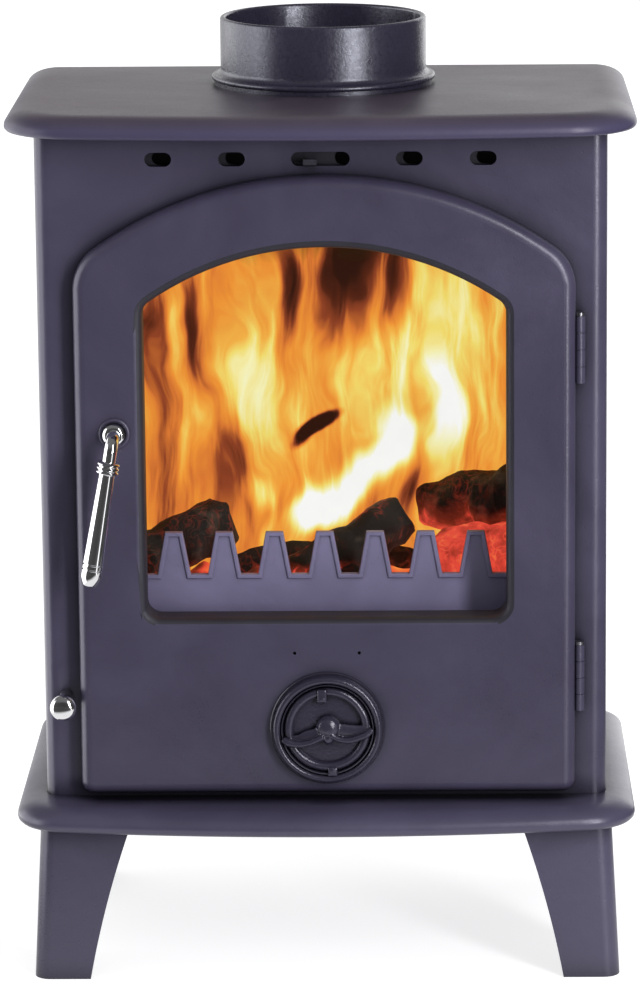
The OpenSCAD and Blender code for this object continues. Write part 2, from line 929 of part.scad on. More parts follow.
module flue_collar() {
  tube_w = flue_r - flue_bore_r;
  fillet_r = flue_flange_w - flue_flange_t / 2;
  flange_z = flue_seat_t;
  color(iron_light)
    translate([0, flue_y, top_top])
      difference() {
        union() {
          rotate_extrude($fn = 96) {
            translate([flue_bore_r, 0])
              square([tube_w + fillet_r, flue_seat_t]);
            translate([flue_bore_r, flange_z])
              square([tube_w + fillet_r, flue_flange_t]);
            polygon([
              [hole_r, 0], [flue_bore_r + tube_w / 2, 0],
              [flue_bore_r + tube_w / 2, lug_h + flue_stop_w],
              [flue_bore_r, lug_h + flue_stop_w], [hole_r, lug_h]
            ]);
            translate([flue_r + fillet_r, flange_z + flue_flange_t / 2])
              circle(d = flue_flange_t);
            translate([flue_bore_r, flange_z])
              square([tube_w, flue_h - flange_z - tube_w / 2]);
            translate([flue_bore_r + tube_w / 2, flue_h - tube_w / 2])
              circle(d = tube_w);
            difference() {
              translate([flue_r, flange_z + flue_flange_t])
                square(fillet_r);
              translate([flue_r + fillet_r, flange_z + flue_flange_t + fillet_r])
                circle(r = fillet_r);
            }
          }
          for (angle = collar_angles)
            rotate([0, 0, angle]) {
              translate([lug_ring_r, 0, 0])
                cylinder(r = lug_r, h = lug_h);
              translate([lug_ring_r, -lug_r, 0])
                cube([flue_bore_r + tube_w / 2 - lug_ring_r, 2 * lug_r, lug_h]);
            }
        }
        for (angle = collar_angles)
          rotate([0, 0, angle])
            translate([lug_ring_r, 0, -cut])
              cylinder(r = bolt_r + touch, h = lug_thread + cut);
      }
}

module collar_bolts() {
  color(steel)
    for (angle = collar_angles)
      translate([0, flue_y, 0])
        rotate([0, 0, angle])
          translate([lug_ring_r, 0, top_z + top_pocket - bolt_head_t]) {
            hex_head(bolt_head_r, bolt_head_t);
            cylinder(r = bolt_r, h = bolt_head_t + top_t - top_pocket + lug_thread - bolt_play);
          }
}

module rear_flue_cover() {
  color(iron)
    difference() {
      union() {
        shaft(0, back_y, rear_zz, rear_cover_r, rear_cover_t);
        for (side = [-1, 1])
          shaft(side * rear_ear_x, back_y, rear_zz, rear_ear_r, rear_cover_t);
        shaft(0, back_y, rear_zz, rear_cover_r - 12, rear_cover_t + 2);
      }
      for (side = [-1, 1])
        shaft(side * rear_ear_x, back_y - cut, rear_zz, bolt_r + run, rear_cover_t + 2 * cut);
    }
}

module rear_cover_bolts() {
  color(steel)
    for (side = [-1, 1]) {
      shaft(side * rear_ear_x, inner_back, rear_zz, bolt_r, wall + rear_cover_t);
      translate([side * rear_ear_x, back_y + rear_cover_t + bolt_head_t, rear_zz])
        rotate([90, 0, 0])
          hex_head(bolt_head_r, bolt_head_t);
    }
}

// ---- Upper air ------------------------------------------------------------

// Two rails behind the front plate, each with a lip that keeps the slider in
module slider_rails() {
  slider_rear = slider_front + slider_t;
  color(steel) {
    translate([-rail_half, inner_front, slider_low - touch - rail_foot])
      cube([2 * rail_half, slider_t + 2 * touch, rail_foot]);
    translate([-rail_half, slider_rear + touch, slider_low - touch - rail_foot])
      cube([2 * rail_half, rail_t, rail_foot + rail_lap]);
    translate([-rail_half, inner_front, slider_high + touch])
      cube([2 * rail_half, slider_t + 2 * touch, rail_foot]);
    translate([-rail_half, slider_rear + touch, slider_high + touch - rail_lap])
      cube([2 * rail_half, rail_t, rail_foot + rail_lap]);
  }
}

// The slider stands slider_open to the right of the place where its holes meet the slots
module air_slider() {
  mid_hole = slot_mid_w / 2 - 5;
  color(steel)
    difference() {
      union() {
        translate([-slider_half + slider_open, slider_front, slider_low])
          cube([2 * slider_half, slider_t, slider_high - slider_low]);
        translate([tab_x, front_y - tab_reach, slot_zz - slot_h / 2 + 1])
          cube([tab_w, tab_reach + wall + touch + slider_t, tab_t]);
        translate([tab_x, front_y - tab_reach, slot_zz - slot_h / 2 + 1])
          cube([tab_w, tab_t, tab_lip]);
      }
      for (x = slot_xs)
        translate([slider_open, touch + cut, 0])
          slot_cut(x, slot_w, wall);
      translate([slider_open + mid_hole, touch + cut, 0])
        slot_cut(0, slot_w, wall);
    }
}

module airwash_plate() {
  color(iron) {
    translate([-rail_half, inner_front, airwash_high])
      cube([2 * rail_half, airwash_gap, airwash_t]);
    translate([-rail_half, inner_front + airwash_gap - airwash_t, airwash_low])
      cube([2 * rail_half, airwash_t, airwash_high - airwash_low + airwash_t]);
  }
}

// ---- Firebox --------------------------------------------------------------

// Bar slots in two rows, either side of a middle rib
module bar_slots(z, t) {
  for (i = [0:bar_count - 1], side = [0, 1])
    mirror([side, 0, 0])
      translate([bar_rib, bar_front + i * bar_pitch - bar_slot / 2, z - cut])
        cube([bar_half - bar_rib, bar_slot, t + 2 * cut]);
}

module grate_frame() {
  guide_front = riddle_front - riddle_travel - 1;
  guide_len = riddle_len + riddle_travel + 2;
  color(iron_light) {
    difference() {
      translate([-grate_half, grate_front, grate_under])
        cube([2 * grate_half, grate_back - grate_front, grate_t]);
      bar_slots(grate_under, grate_t);
      for (x = [-tie_x, tie_x])
        translate([x, tie_rear, grate_under - cut])
          cylinder(r = tie_hole_r, h = grate_t + 2 * cut);
    }
    // Hooked guides that carry the riddling grate
    for (side = [0, 1])
      mirror([side, 0, 0]) {
        translate([riddle_half + touch, guide_front, riddle_under - touch - guide_lip_t])
          cube([guide_w, guide_len, grate_under - riddle_under + touch + guide_lip_t]);
        translate([riddle_half + touch - guide_lip, guide_front, riddle_under - touch - guide_lip_t])
          cube([guide_lip + cut, guide_len, guide_lip_t]);
      }
  }
}

module riddling_grate() {
  color(iron_light)
    difference() {
      translate([-riddle_half, riddle_front, riddle_under])
        cube([2 * riddle_half, riddle_len, riddle_t]);
      bar_slots(riddle_under, riddle_t);
    }
}

// Outline of the fence, drawn inside itself by a border
function fence_points(border) =
  let (
    slant = atan2(fence_tooth_h, fence_foot_w - fence_top_w),
    side = border / sin(slant),
    lean = border / tan(slant),
    foot = fence_foot_w + lean - side,
    top = fence_top_w + lean - side,
    valley = fence_bar_h - border,
    crown = fence_bar_h + fence_tooth_h - border
  )
  [
    [fence_half - border, border],
    [fence_half - border, valley],
    for (i = [fence_teeth - 1:-1:0])
      let (mid = (i - (fence_teeth - 1) / 2) * fence_pitch)
      each [[mid + foot, valley], [mid + top, crown], [mid - top, crown], [mid - foot, valley]],
    [-fence_half + border, valley],
    [-fence_half + border, border]
  ];

module fire_fence() {
  relief = 1.2;
  color(iron_light)
    translate([0, 0, grate_top]) {
      difference() {
        upright(fence_front + fence_t)
          linear_extrude(fence_t)
            polygon(fence_points(0));
        upright(fence_front + relief)
          linear_extrude(relief + cut)
            polygon(fence_points(fence_border));
      }
      // Ends turned back, which let it stand by itself
      for (side = [0, 1])
        mirror([side, 0, 0])
          translate([fence_half - fence_t, fence_front + fence_t, 0])
            cube([fence_t, fence_end, fence_bar_h]);
    }
}

// A brick standing on the grate, with its upper edges taken off
module brick_block(length) {
  rotate([90, 0, 90])
    linear_extrude(length)
      polygon([
        [0, 0], [brick_t, 0], [brick_t, brick_h - brick_edge], [brick_t - brick_edge, brick_h],
        [brick_edge, brick_h], [0, brick_h - brick_edge]
      ]);
}

module left_brick() {
  color(brick)
    translate([-inner_side + touch, tie_rear - tie_r - 6, grate_top])
      rotate([0, 0, -90])
        brick_block(tie_rear - tie_r - 6 - brick_front);
}

module right_brick() {
  color(brick)
    translate([inner_side - touch, brick_front, grate_top])
      rotate([0, 0, 90])
        brick_block(tie_rear - tie_r - 6 - brick_front);
}

module back_brick() {
  half = tie_x - tie_r - 4;
  color(brick)
    translate([-half, inner_back - touch - brick_t, grate_top])
      brick_block(2 * half);
}

module baffle() {
  color(brick)
    difference() {
      on_slope()
        translate([-baffle_half, -baffle_len, touch])
          cube([2 * baffle_half, baffle_len, baffle_t - touch]);
      for (x = [-tie_x, tie_x])
        translate([x, tie_rear, baffle_zz - cut])
          cylinder(r = tie_hole_r + 1, h = baffle_len);
    }
}

// ---- Hinges ---------------------------------------------------------------

module frame_leaf(z) {
  color(steel)
    difference() {
      union() {
        for (i = [1, 3]) {
          translate([hinge_x, hinge_y, z + i * knuckle_h + knuckle_gap])
            cylinder(r = knuckle_r, h = knuckle_h - 2 * knuckle_gap);
          translate([hinge_x - web_w / 2, hinge_y, z + i * knuckle_h + knuckle_gap])
            cube([web_w, hinge_front + leaf_t / 2, knuckle_h - 2 * knuckle_gap]);
        }
        translate([hinge_x - web_w / 2, front_y, z])
          cube([leaf_reach + web_w / 2, leaf_t, hinge_h]);
      }
      translate([hinge_x, hinge_y, z - cut])
        cylinder(r = hinge_pin_r, h = hinge_h + 2 * cut);
    }
}

module door_leaf(z) {
  color(steel)
    difference() {
      union() {
        for (i = [0, 2])
          translate([hinge_x, hinge_y, z + i * knuckle_h + knuckle_gap])
            cylinder(r = knuckle_r, h = knuckle_h - 2 * knuckle_gap);
        translate([door_right - leaf_t, door_back - leaf_depth, z])
          cube([leaf_t, leaf_depth, hinge_h]);
      }
      translate([hinge_x, hinge_y, z - cut])
        cylinder(r = hinge_pin_r + run, h = hinge_h + 2 * cut);
      for (i = [1, 3])
        translate([hinge_x, hinge_y, z + i * knuckle_h - knuckle_gap])
          cylinder(r = knuckle_r + touch, h = knuckle_h + 2 * knuckle_gap);
    }
}

module hinge_pin(z) {
  color(steel)
    translate([hinge_x, hinge_y, z]) {
      cylinder(r = hinge_pin_r, h = hinge_h);
      translate([0, 0, hinge_h])
        cylinder(r = pin_head_r, h = pin_head_h);
    }
}

module upper_frame_leaf() {
  frame_leaf(base_top + upper_hinge_z);
}

module lower_frame_leaf() {
  frame_leaf(base_top + lower_hinge_z);
}

module upper_door_leaf() {
  door_leaf(base_top + upper_hinge_z);
}

module lower_door_leaf() {
  door_leaf(base_top + lower_hinge_z);
}

module upper_hinge_pin() {
  hinge_pin(base_top + upper_hinge_z);
}

module lower_hinge_pin() {
  hinge_pin(base_top + lower_hinge_z);
}

// ---- Door -----------------------------------------------------------------

// Edge of the door from its back to its face, rolled over at the front
function roll_edge(roll, t) = [
  [0, 0],
  for (i = [0:roll_steps])
    let (a = 90 * i / roll_steps)
    [roll * (1 - cos(a)), t - roll + roll * sin(a)]
];

module door_shell() {
  difference() {
    union() {
      upright(door_back)
        edged_plate(door_shape(0), roll_edge(door_roll, door_t));
      upright(frame_back)
        linear_extrude(frame_depth + cut)
          fill_outline(window_shape(-frame_w));
    }
    // Hollow back between the rim and the window frame
    upright(door_back + cut)
      linear_extrude(door_t - door_skin + cut)
        difference() {
          fill_outline(door_shape(door_rim));
          fill_outline(window_shape(-frame_w));
        }
    upright(door_back + cut)
      linear_extrude(rope_depth + cut)
        difference() {
          fill_outline(door_shape(rope_inset));
          fill_outline(door_shape(rope_inset + rope_w));
        }
    upright(frame_back + cut)
      linear_extrude(frame_depth + door_t + 2 * cut)
        fill_outline(window_shape(0));
  }
}

module at_clips(y) {
  for (spot = clip_spots)
    upright(y)
      translate([spot[0], spot[1], 0])
        rotate([0, 0, spot[2]])
          children();
}

module door() {
  skin_back = door_face + door_skin;
  color(iron)
    difference() {
      union() {
        door_shell();
        shaft(spindle_x, skin_back - cut, spindle_zz, spindle_boss_r, door_back - skin_back + cut);
        shaft(wheel_x, skin_back - cut, wheel_zz, wheel_boss_r, door_back - skin_back + cut);
        at_clips(clip_y)
          cylinder(r = clip_boss_r, h = clip_y - skin_back + cut);
      }
      shaft(spindle_x, door_face - cut, spindle_zz, spindle_r + run, door_t + 2 * cut);
      shaft(wheel_x, door_face - cut, wheel_zz, stud_r + run, door_t + 2 * cut);
      for (angle = [30:60:330])
        shaft(wheel_x + vent_ring_r * cos(angle), door_face - cut,
          wheel_zz + vent_ring_r * sin(angle), vent_r, door_t + 2 * cut);
      for (side = [-1, 1])
        shaft(door_shift + side * badge_half, door_face - cut, badge_z, badge_hole_r, 4 + cut);
      at_clips(clip_y + cut)
        cylinder(r = clip_screw_r + run, h = 8 + cut);
      for (z = [base_top + lower_hinge_z, base_top + upper_hinge_z]) {
        translate([hinge_x, hinge_y, z - touch])
          cylinder(r = knuckle_r + touch, h = hinge_h + 2 + 2 * touch);
        translate([door_right - leaf_t, door_back - leaf_depth, z])
          cube([leaf_t + cut, leaf_depth + cut, hinge_h]);
      }
    }
}

module door_glass() {
  color([0.8, 0.6, 0.4, 0.4])
    upright(clip_y)
      linear_extrude(glass_t)
        fill_outline(window_shape(-glass_lap));
}

module glass_gasket() {
  color(rope)
    upright(glass_y)
      linear_extrude(gasket_t)
        difference() {
          fill_outline(window_shape(-glass_lap));
          fill_outline(window_shape(-1));
        }
}

module glass_clips() {
  color(steel)
    at_clips(clip_y + clip_t)
      difference() {
        translate([-clip_w / 2, -clip_boss_r, 0])
          cube([clip_w, clip_out + clip_boss_r - 3, clip_t]);
        translate([0, 0, -cut])
          cylinder(r = clip_screw_r + run, h = clip_t + 2 * cut);
      }
}

module clip_screws() {
  color(steel)
    at_clips(clip_y + clip_t) {
      cylinder(r = clip_screw_r, h = clip_t + 6);
      translate([0, 0, -2])
        cylinder(r = 3.6, h = 2);
    }
}

module door_rope() {
  color(rope)
    upright(front_y - touch)
      linear_extrude(rope_depth + door_stand - touch)
        difference() {
          fill_outline(door_shape(rope_inset + 0.2));
          fill_outline(door_shape(rope_inset + rope_w - 0.2));
        }
}

// ---- Handle ---------------------------------------------------------------

lever_y = door_face - grip_reach;
boss_back = door_face - rose_t - touch;
boss_face = boss_back - boss_t;
spindle_tip = boss_face + boss_wall;

module along_grip() {
  translate([spindle_x, lever_y, spindle_zz])
    rotate([0, 180 + grip_tilt, 0])
      children();
}

module handle_rose() {
  color(chrome)
    difference() {
      shaft(spindle_x, door_face - rose_t, spindle_zz, rose_r, rose_t);
      shaft(spindle_x, door_face - rose_t - cut, spindle_zz, spindle_r + run, rose_t + 2 * cut);
    }
}

module handle_spindle() {
  color(steel) {
    shaft(spindle_x, spindle_tip, spindle_zz, spindle_r, cam_y - spindle_tip);
    shaft(spindle_x, cam_y - cut, spindle_zz, spindle_end_r, cam_t + cam_nut_t + 2 + cut);
  }
}

// One ring of the handle's rod, y in front of the spindle's end and z down the grip, where
// the rod has turned through an angle from the spindle to the grip
function rod_ring(y, z, angle) = [
  for (i = [0:rod_sides - 1])
    let (b = 360 * i / rod_sides)
    [rod_r * cos(b), y + rod_r * sin(b) * sin(angle), z + rod_r * sin(b) * cos(angle)]
];

module handle_rod() {
  stacked([
    rod_ring(boss_face + rod_root - lever_y, 0, 0),
    for (i = [0:bend_steps])
      let (a = 90 * i / bend_steps)
      rod_ring(bend_r * (1 - sin(a)), bend_r * (1 - cos(a)), a),
    rod_ring(0, collar_start + cut, 90)
  ]);
}

module grip_profile() {
  for (i = [0:2])
    translate([0, collar_start + i * collar_ring])
      square([i == 1 ? collar_r : collar_r - 0.9, collar_ring]);
  translate([0, collar_start])
    square([grip_neck_r, grip_start + cut - collar_start]);
  polygon([
    [0, grip_start], [grip_neck_r, grip_start], [grip_r, grip_len - 14], [grip_r - 0.5, grip_len - 13.2],
    [grip_r, grip_len - 12.4], [grip_r, grip_len - 10], [grip_r - 0.5, grip_len - 9.2],
    [grip_r, grip_len - 8.4], [grip_r, grip_len - 4], [grip_r - 1.8, grip_len], [0, grip_len]
  ]);
}

module handle_lever() {
  color(chrome)
    difference() {
      union() {
        shaft(spindle_x, boss_face, spindle_zz, boss_r, boss_t);
        along_grip() {
          handle_rod();
          rotate_extrude()
            grip_profile();
        }
      }
      shaft(spindle_x, spindle_tip, spindle_zz, spindle_r + run, boss_t);
    }
}

// The cam hangs clear of the opening's edge, and swings behind the front plate as the
// grip is lifted
module latch_cam() {
  color(steel)
    upright(cam_y + cam_t)
      linear_extrude(cam_t)
        translate([spindle_x, spindle_zz])
          rotate(180 + cam_lean)
            difference() {
              union() {
                circle(r = cam_hub_r);
                translate([-cam_tip_r, 0])
                  square([2 * cam_tip_r, cam_len - cam_tip_r]);
                translate([0, cam_len - cam_tip_r])
                  circle(r = cam_tip_r);
              }
              circle(r = spindle_end_r + run);
            }
}

module cam_nut() {
  color(steel)
    translate([spindle_x, cam_y + cam_t + cam_nut_t, spindle_zz])
      rotate([90, 0, 0])
        difference() {
          hex_head(5.5, cam_nut_t);
          translate([0, 0, -cut])
            cylinder(r = spindle_end_r + run, h = cam_nut_t + 2 * cut);
        }
}

// ---- Air wheel ------------------------------------------------------------

module wheel_stud() {
  color(steel)
    shaft(wheel_x, stud_front, wheel_zz, stud_r, stud_len);
}

// Half section of the wheel, from its axis outwards and from its back forwards
module wheel_profile() {
  floor_t = 3.2;
  lip = 2;
  difference() {
    union() {
      square([wheel_r - lip, floor_t]);
      translate([wheel_r - 2 * lip, 0])
        square([2 * lip, wheel_t - 2 * lip]);
      translate([wheel_r - lip, wheel_t - 2 * lip])
        intersection() {
          circle(r = lip);
          translate([-lip, 0])
            square([2 * lip, lip]);
        }
      translate([bead_r, floor_t])
        intersection() {
          circle(r = 3.2);
          translate([-3.2, 0])
            square([6.4, 3.2]);
        }
      square([8, wheel_t + 1]);
    }
    translate([stud_r + 4, -cut])
      square([wheel_r - stud_r - 9, 1.2 + cut]);
  }
}

module wheel_blade() {
  hull() {
    translate([5, -1, 4])
      cylinder(r = 2, h = 5, $fn = 32);
    translate([18, 1, 4])
      cylinder(r = 5, h = 3.5, $fn = 32);
    translate([26, -0.5, 4])
      cylinder(r = 1.8, h = 2.5, $fn = 32);
  }
}

module air_wheel() {
  color(iron)
    difference() {
      translate([wheel_x, wheel_back, wheel_zz])
        rotate([90, 0, 0])
          rotate([0, 0, wheel_turn]) {
            rotate_extrude($fn = 96)
              wheel_profile();
            wheel_blade();
            rotate([0, 0, 180])
              wheel_blade();
            translate([0, 0, wheel_t + 1])
              intersection() {
                sphere(r = 8);
                cylinder(r = 9, h = 9);
              }
            for (angle = [90, 270])
              rotate([0, 0, angle])
                translate([bead_r - 4, 0, 0])
                  cylinder(r = 2.2, h = 6);
          }
      shaft(wheel_x, stud_front - touch, wheel_zz, stud_r + run, stud_len);
    }
}

// ---- Riddling -------------------------------------------------------------

riddle_face = front_y - riddle_reach;
rod_rear = link_y;

module riddling_rod() {
  color(steel) {
    shaft(riddle_x, riddle_face + 3, riddle_zz, riddle_rod_r, rod_rear - riddle_face - 3);
    shaft(riddle_x, rod_rear - cut, riddle_zz, link_end_r, link_w + cut);
    shaft(riddle_x, link_y + link_w, riddle_zz, riddle_rod_r, 1.5);
  }
}

module riddling_knob() {
  face_edge = 1.2;
  color(chrome)
    translate([riddle_x, riddle_face, riddle_zz])
      rotate([-90, 0, 0])
        rotate_extrude()
          difference() {
            polygon([
              [0, 0], [riddle_knob_r - face_edge, 0], [riddle_knob_r, face_edge],
              [riddle_knob_r, 4], [riddle_rod_r + 1.6, knob_t], [riddle_rod_r + 1.6, knob_t + 3],
              [0, knob_t + 3]
            ]);
            translate([-cut, 3])
              square([riddle_rod_r + run + cut, knob_t + cut]);
          }
}

module riddling_link() {
  left = riddle_x - link_end_r - 1.6;
  color(steel)
    difference() {
      union() {
        translate([left, link_y, riddle_zz - link_t / 2])
          cube([riser_x + riser_w - left, link_w, link_t]);
        translate([riser_x, link_y, riddle_zz - link_t / 2])
          cube([riser_w, link_w, riddle_under - riddle_zz + link_t / 2]);
      }
      shaft(riddle_x, link_y - cut, riddle_zz, link_end_r + run, link_w + 2 * cut);
    }
}

// ---- Ash pan --------------------------------------------------------------

module ash_pan() {
  color(steel)
    difference() {
      translate([-pan_w / 2, pan_front, pan_z])
        cube([pan_w, pan_len, pan_h]);
      translate([-pan_w / 2 + pan_wall, pan_front + pan_wall, pan_z + pan_wall])
        cube([pan_w - 2 * pan_wall, pan_len - 2 * pan_wall, pan_h]);
    }
}

module ash_pan_handle() {
  z = pan_z + pan_h / 2;
  bar_y = pan_front - pan_handle_out + pan_handle_r;
  color(steel) {
    for (side = [-1, 1]) {
      shaft(side * pan_handle_half, bar_y, z, pan_handle_r, pan_front - bar_y);
      translate([side * pan_handle_half, bar_y, z])
        sphere(r = pan_handle_r);
    }
    translate([-pan_handle_half, bar_y, z])
      rotate([0, 90, 0])
        cylinder(r = pan_handle_r, h = 2 * pan_handle_half);
  }
}

base_plate();
leg_front_left();
leg_front_right();
leg_rear_left();
leg_rear_right();
leg_bolts();
front_plate();
left_side_plate();
right_side_plate();
back_plate();
tie_rods();
tie_nuts();
top_plate();
flue_collar();
collar_bolts();
rear_flue_cover();
rear_cover_bolts();
slider_rails();
airwash_plate();
grate_frame();
fire_fence();
left_brick();
right_brick();
back_brick();
baffle();
upper_frame_leaf();
lower_frame_leaf();
upper_hinge_pin();
lower_hinge_pin();
door();
door_glass();
glass_gasket();
glass_clips();
clip_screws();
door_rope();
upper_door_leaf();
lower_door_leaf();
handle_rose();
handle_spindle();
handle_lever();
latch_cam();
cam_nut();
wheel_stud();
air_wheel();
air_slider();
riddling_rod();
riddling_knob();
riddling_link();
riddling_grate();
ash_pan();
ash_pan_handle();
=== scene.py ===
import bpy
import random
from math import cos, pi, radians, sin
from mathutils import Matrix, Vector


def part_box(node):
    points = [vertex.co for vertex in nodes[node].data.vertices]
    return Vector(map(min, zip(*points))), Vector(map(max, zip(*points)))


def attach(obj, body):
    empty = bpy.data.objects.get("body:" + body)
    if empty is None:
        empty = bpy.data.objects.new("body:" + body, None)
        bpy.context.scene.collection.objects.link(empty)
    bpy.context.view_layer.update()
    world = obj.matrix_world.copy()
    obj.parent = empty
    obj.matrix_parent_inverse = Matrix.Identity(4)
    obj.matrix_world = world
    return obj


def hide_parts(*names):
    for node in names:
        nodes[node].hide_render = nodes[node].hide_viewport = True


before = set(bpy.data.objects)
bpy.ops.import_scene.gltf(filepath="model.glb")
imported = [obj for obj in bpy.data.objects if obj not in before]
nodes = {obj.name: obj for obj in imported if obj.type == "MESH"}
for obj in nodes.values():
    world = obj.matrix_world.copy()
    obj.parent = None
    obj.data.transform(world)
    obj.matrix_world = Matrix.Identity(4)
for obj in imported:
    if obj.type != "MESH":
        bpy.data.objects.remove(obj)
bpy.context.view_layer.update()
mm = 0.001


def clearSelection():
    if bpy.context.mode != "OBJECT":
        bpy.ops.object.mode_set(mode="OBJECT")
    bpy.ops.object.select_all(action="DESELECT")


def takeUp(piece):
    clearSelection()
    piece.select_set(True)
    bpy.context.view_layer.objects.active = piece


def named(name):
    piece = bpy.context.object
    piece.name = name
    piece.data.name = name
    return piece


def at(x, y, z):
    return Vector((x * mm, y * mm, z * mm))


# goes into edit mode with only those parts selected whose place (in mm) and direction pass
def pick(piece, kind, test):
    takeUp(piece)
    bpy.ops.object.mode_set(mode="EDIT")
    bpy.ops.mesh.select_mode(type=kind)
    bpy.ops.mesh.select_all(action="DESELECT")
    bpy.ops.object.mode_set(mode="OBJECT")
    mesh = piece.data
    if kind == "FACE":
        for face in mesh.polygons:
            face.select = bool(test(face.center / mm, face.normal))
    elif kind == "EDGE":
        for edge in mesh.edges:
            a, b = (mesh.vertices[i].co / mm for i in edge.vertices)
            edge.select = bool(test((a + b) / 2, (b - a).normalized()))
    else:
        for vertex in mesh.vertices:
            vertex.select = bool(test(vertex.co / mm, vertex.normal))
    bpy.ops.object.mode_set(mode="EDIT")


def startPoint(name, place):
    clearSelection()
    bpy.ops.mesh.primitive_plane_add(size=mm, location=place)
    piece = named(name)
    bpy.ops.object.transform_apply(location=True)
    bpy.ops.object.mode_set(mode="EDIT")
    bpy.ops.mesh.select_mode(type="VERT")
    bpy.ops.mesh.select_all(action="SELECT")
    bpy.ops.mesh.merge(type="CENTER")
    return piece


def drawOn(here, there):
    bpy.ops.mesh.extrude_vertices_move(TRANSFORM_OT_translate={"value": there - here})
    return there


def tidyMesh():
    bpy.ops.mesh.select_all(action="SELECT")
    bpy.ops.mesh.remove_doubles(threshold=0.002 * mm)
    bpy.ops.mesh.normals_make_consistent(inside=False)


# spins a half section of (radius, height) points about an axis: Y runs to the front
def turned(name, profile, centre, axis="Y", steps=72):
    spread = (lambda r, h: at(r, -h, 0)) if axis == "Y" else (lambda r, h: at(r, 0, h))
    middle = at(*centre)
    here = middle + spread(*profile[0])
    piece = startPoint(name, here)
    for point in profile[1:]:
        here = drawOn(here, middle + spread(*point))
    bpy.ops.mesh.select_all(action="SELECT")
    bpy.ops.mesh.spin(steps=steps, angle=2 * pi, center=middle,
                      axis=(0, 1, 0) if axis == "Y" else (0, 0, 1))
    tidyMesh()
    bpy.ops.object.mode_set(mode="OBJECT")
    return piece


def arcPoints(x, y, r, start, end, steps):
    return [(x + r * cos(radians(start + (end - start) * i / steps)),
             y + r * sin(radians(start + (end - start) * i / steps))) for i in range(steps + 1)]


# draws a round end along its stations, each (x, y, z, radius)
def lofted(name, stations, sides):
    clearSelection()
    start = at(*stations[0][:3])
    ahead = (at(*stations[1][:3]) - start).normalized()
    turn = ahead.to_track_quat("Z", "Y").to_euler()
    bpy.ops.mesh.primitive_circle_add(vertices=sides, radius=stations[0][3] * mm,
                                      fill_type="NGON", location=start, rotation=turn)
    piece = named(name)
    bpy.ops.object.transform_apply(location=True, rotation=True)
    bpy.ops.object.mode_set(mode="EDIT")
    bpy.ops.mesh.select_mode(type="FACE")
    bpy.ops.mesh.select_all(action="SELECT")
    for i in range(1, len(stations)):
        here, last = at(*stations[i][:3]), at(*stations[i - 1][:3])
        bpy.ops.mesh.extrude_region_move(TRANSFORM_OT_translate={"value": here - last})
        grow = stations[i][3] / stations[i - 1][3]
        bpy.ops.transform.resize(value=(grow, grow, grow), center_override=here)
        if i + 1 < len(stations):
            onward = (at(*stations[i + 1][:3]) - last).normalized()
        else:
            onward = (here - last).normalized()
        swing = ahead.rotation_difference(onward)
        if swing.angle > 0.001:
            rotateAbout(swing, here)
        ahead = onward
    tidyMesh()
    bpy.ops.object.mode_set(mode="OBJECT")
    return piece


def rotateAbout(swing, centre):
    # with no window transform.rotate turns the other way, so the angle is negative
    axis = swing.axis
    side = Vector((1, 0, 0)) if abs(axis.x) < 0.9 else Vector((0, 1, 0))
    side = (side - side.project(axis)).normalized()
    base = Matrix((side, axis.cross(side), axis)).transposed()
    bpy.ops.transform.rotate(value=-swing.angle, orient_axis="Z", orient_matrix=base,
                             center_override=centre)


def applyAll(piece):
    takeUp(piece)
    for modifier in list(piece.modifiers):
        bpy.ops.object.modifier_apply(modifier=modifier.name)


def joined(name, pieces):
    clearSelection()
    for piece in pieces:
        piece.select_set(True)
    bpy.context.view_layer.objects.active = pieces[0]
    bpy.ops.object.join()
    return named(name)


def finished(piece, body, material, stands=(), smooth=35, flats=False):
    takeUp(piece)
    bpy.ops.object.transform_apply(location=True, rotation=True, scale=True)
    bpy.ops.object.shade_smooth_by_angle(angle=radians(smooth))
    # flat faces keep one plain shade, and the soft edges beside them carry the turn
    if flats:
        for face in piece.data.polygons:
            if max(abs(part) for part in face.normal) > 0.9998:
                face.use_smooth = False
        steady = piece.modifiers.new("flatFaces", "WEIGHTED_NORMAL")
        steady.weight = 100
        steady.keep_sharp = True
        applyAll(piece)
    piece.data.materials.clear()
    piece.data.materials.append(material)
    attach(piece, body)
    if stands:
        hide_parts(*stands)


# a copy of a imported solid, merged and with its flat faces whole, to be worked on
def copied(node, name):
    takeUp(nodes[node])
    bpy.ops.object.duplicate()
    piece = named(name)
    piece.modifiers.clear()
    bpy.ops.object.mode_set(mode="EDIT")
    bpy.ops.mesh.select_mode(type="VERT")
    bpy.ops.mesh.select_all(action="SELECT")
    bpy.ops.mesh.remove_doubles(threshold=0.005 * mm)
    bpy.ops.mesh.dissolve_limited(angle_limit=radians(0.4))
    bpy.ops.object.mode_set(mode="OBJECT")
    return piece


# rounds the sharp edges whose place and direction pass the test
def roundEdges(piece, test, width, segments):
    pick(piece, "EDGE", lambda place, way: False)
    bpy.ops.mesh.edges_select_sharp(sharpness=radians(50))
    bpy.ops.object.mode_set(mode="OBJECT")
    sharp = {edge.index for edge in piece.data.edges if edge.select}
    order = iter(range(len(piece.data.edges)))
    pick(piece, "EDGE", lambda place, way: next(order) in sharp and test(place, way))
    bpy.ops.mesh.bevel(offset=width * mm, segments=segments, profile=0.5, clamp_overlap=False,
                       affect="EDGES")
    bpy.ops.object.mode_set(mode="OBJECT")


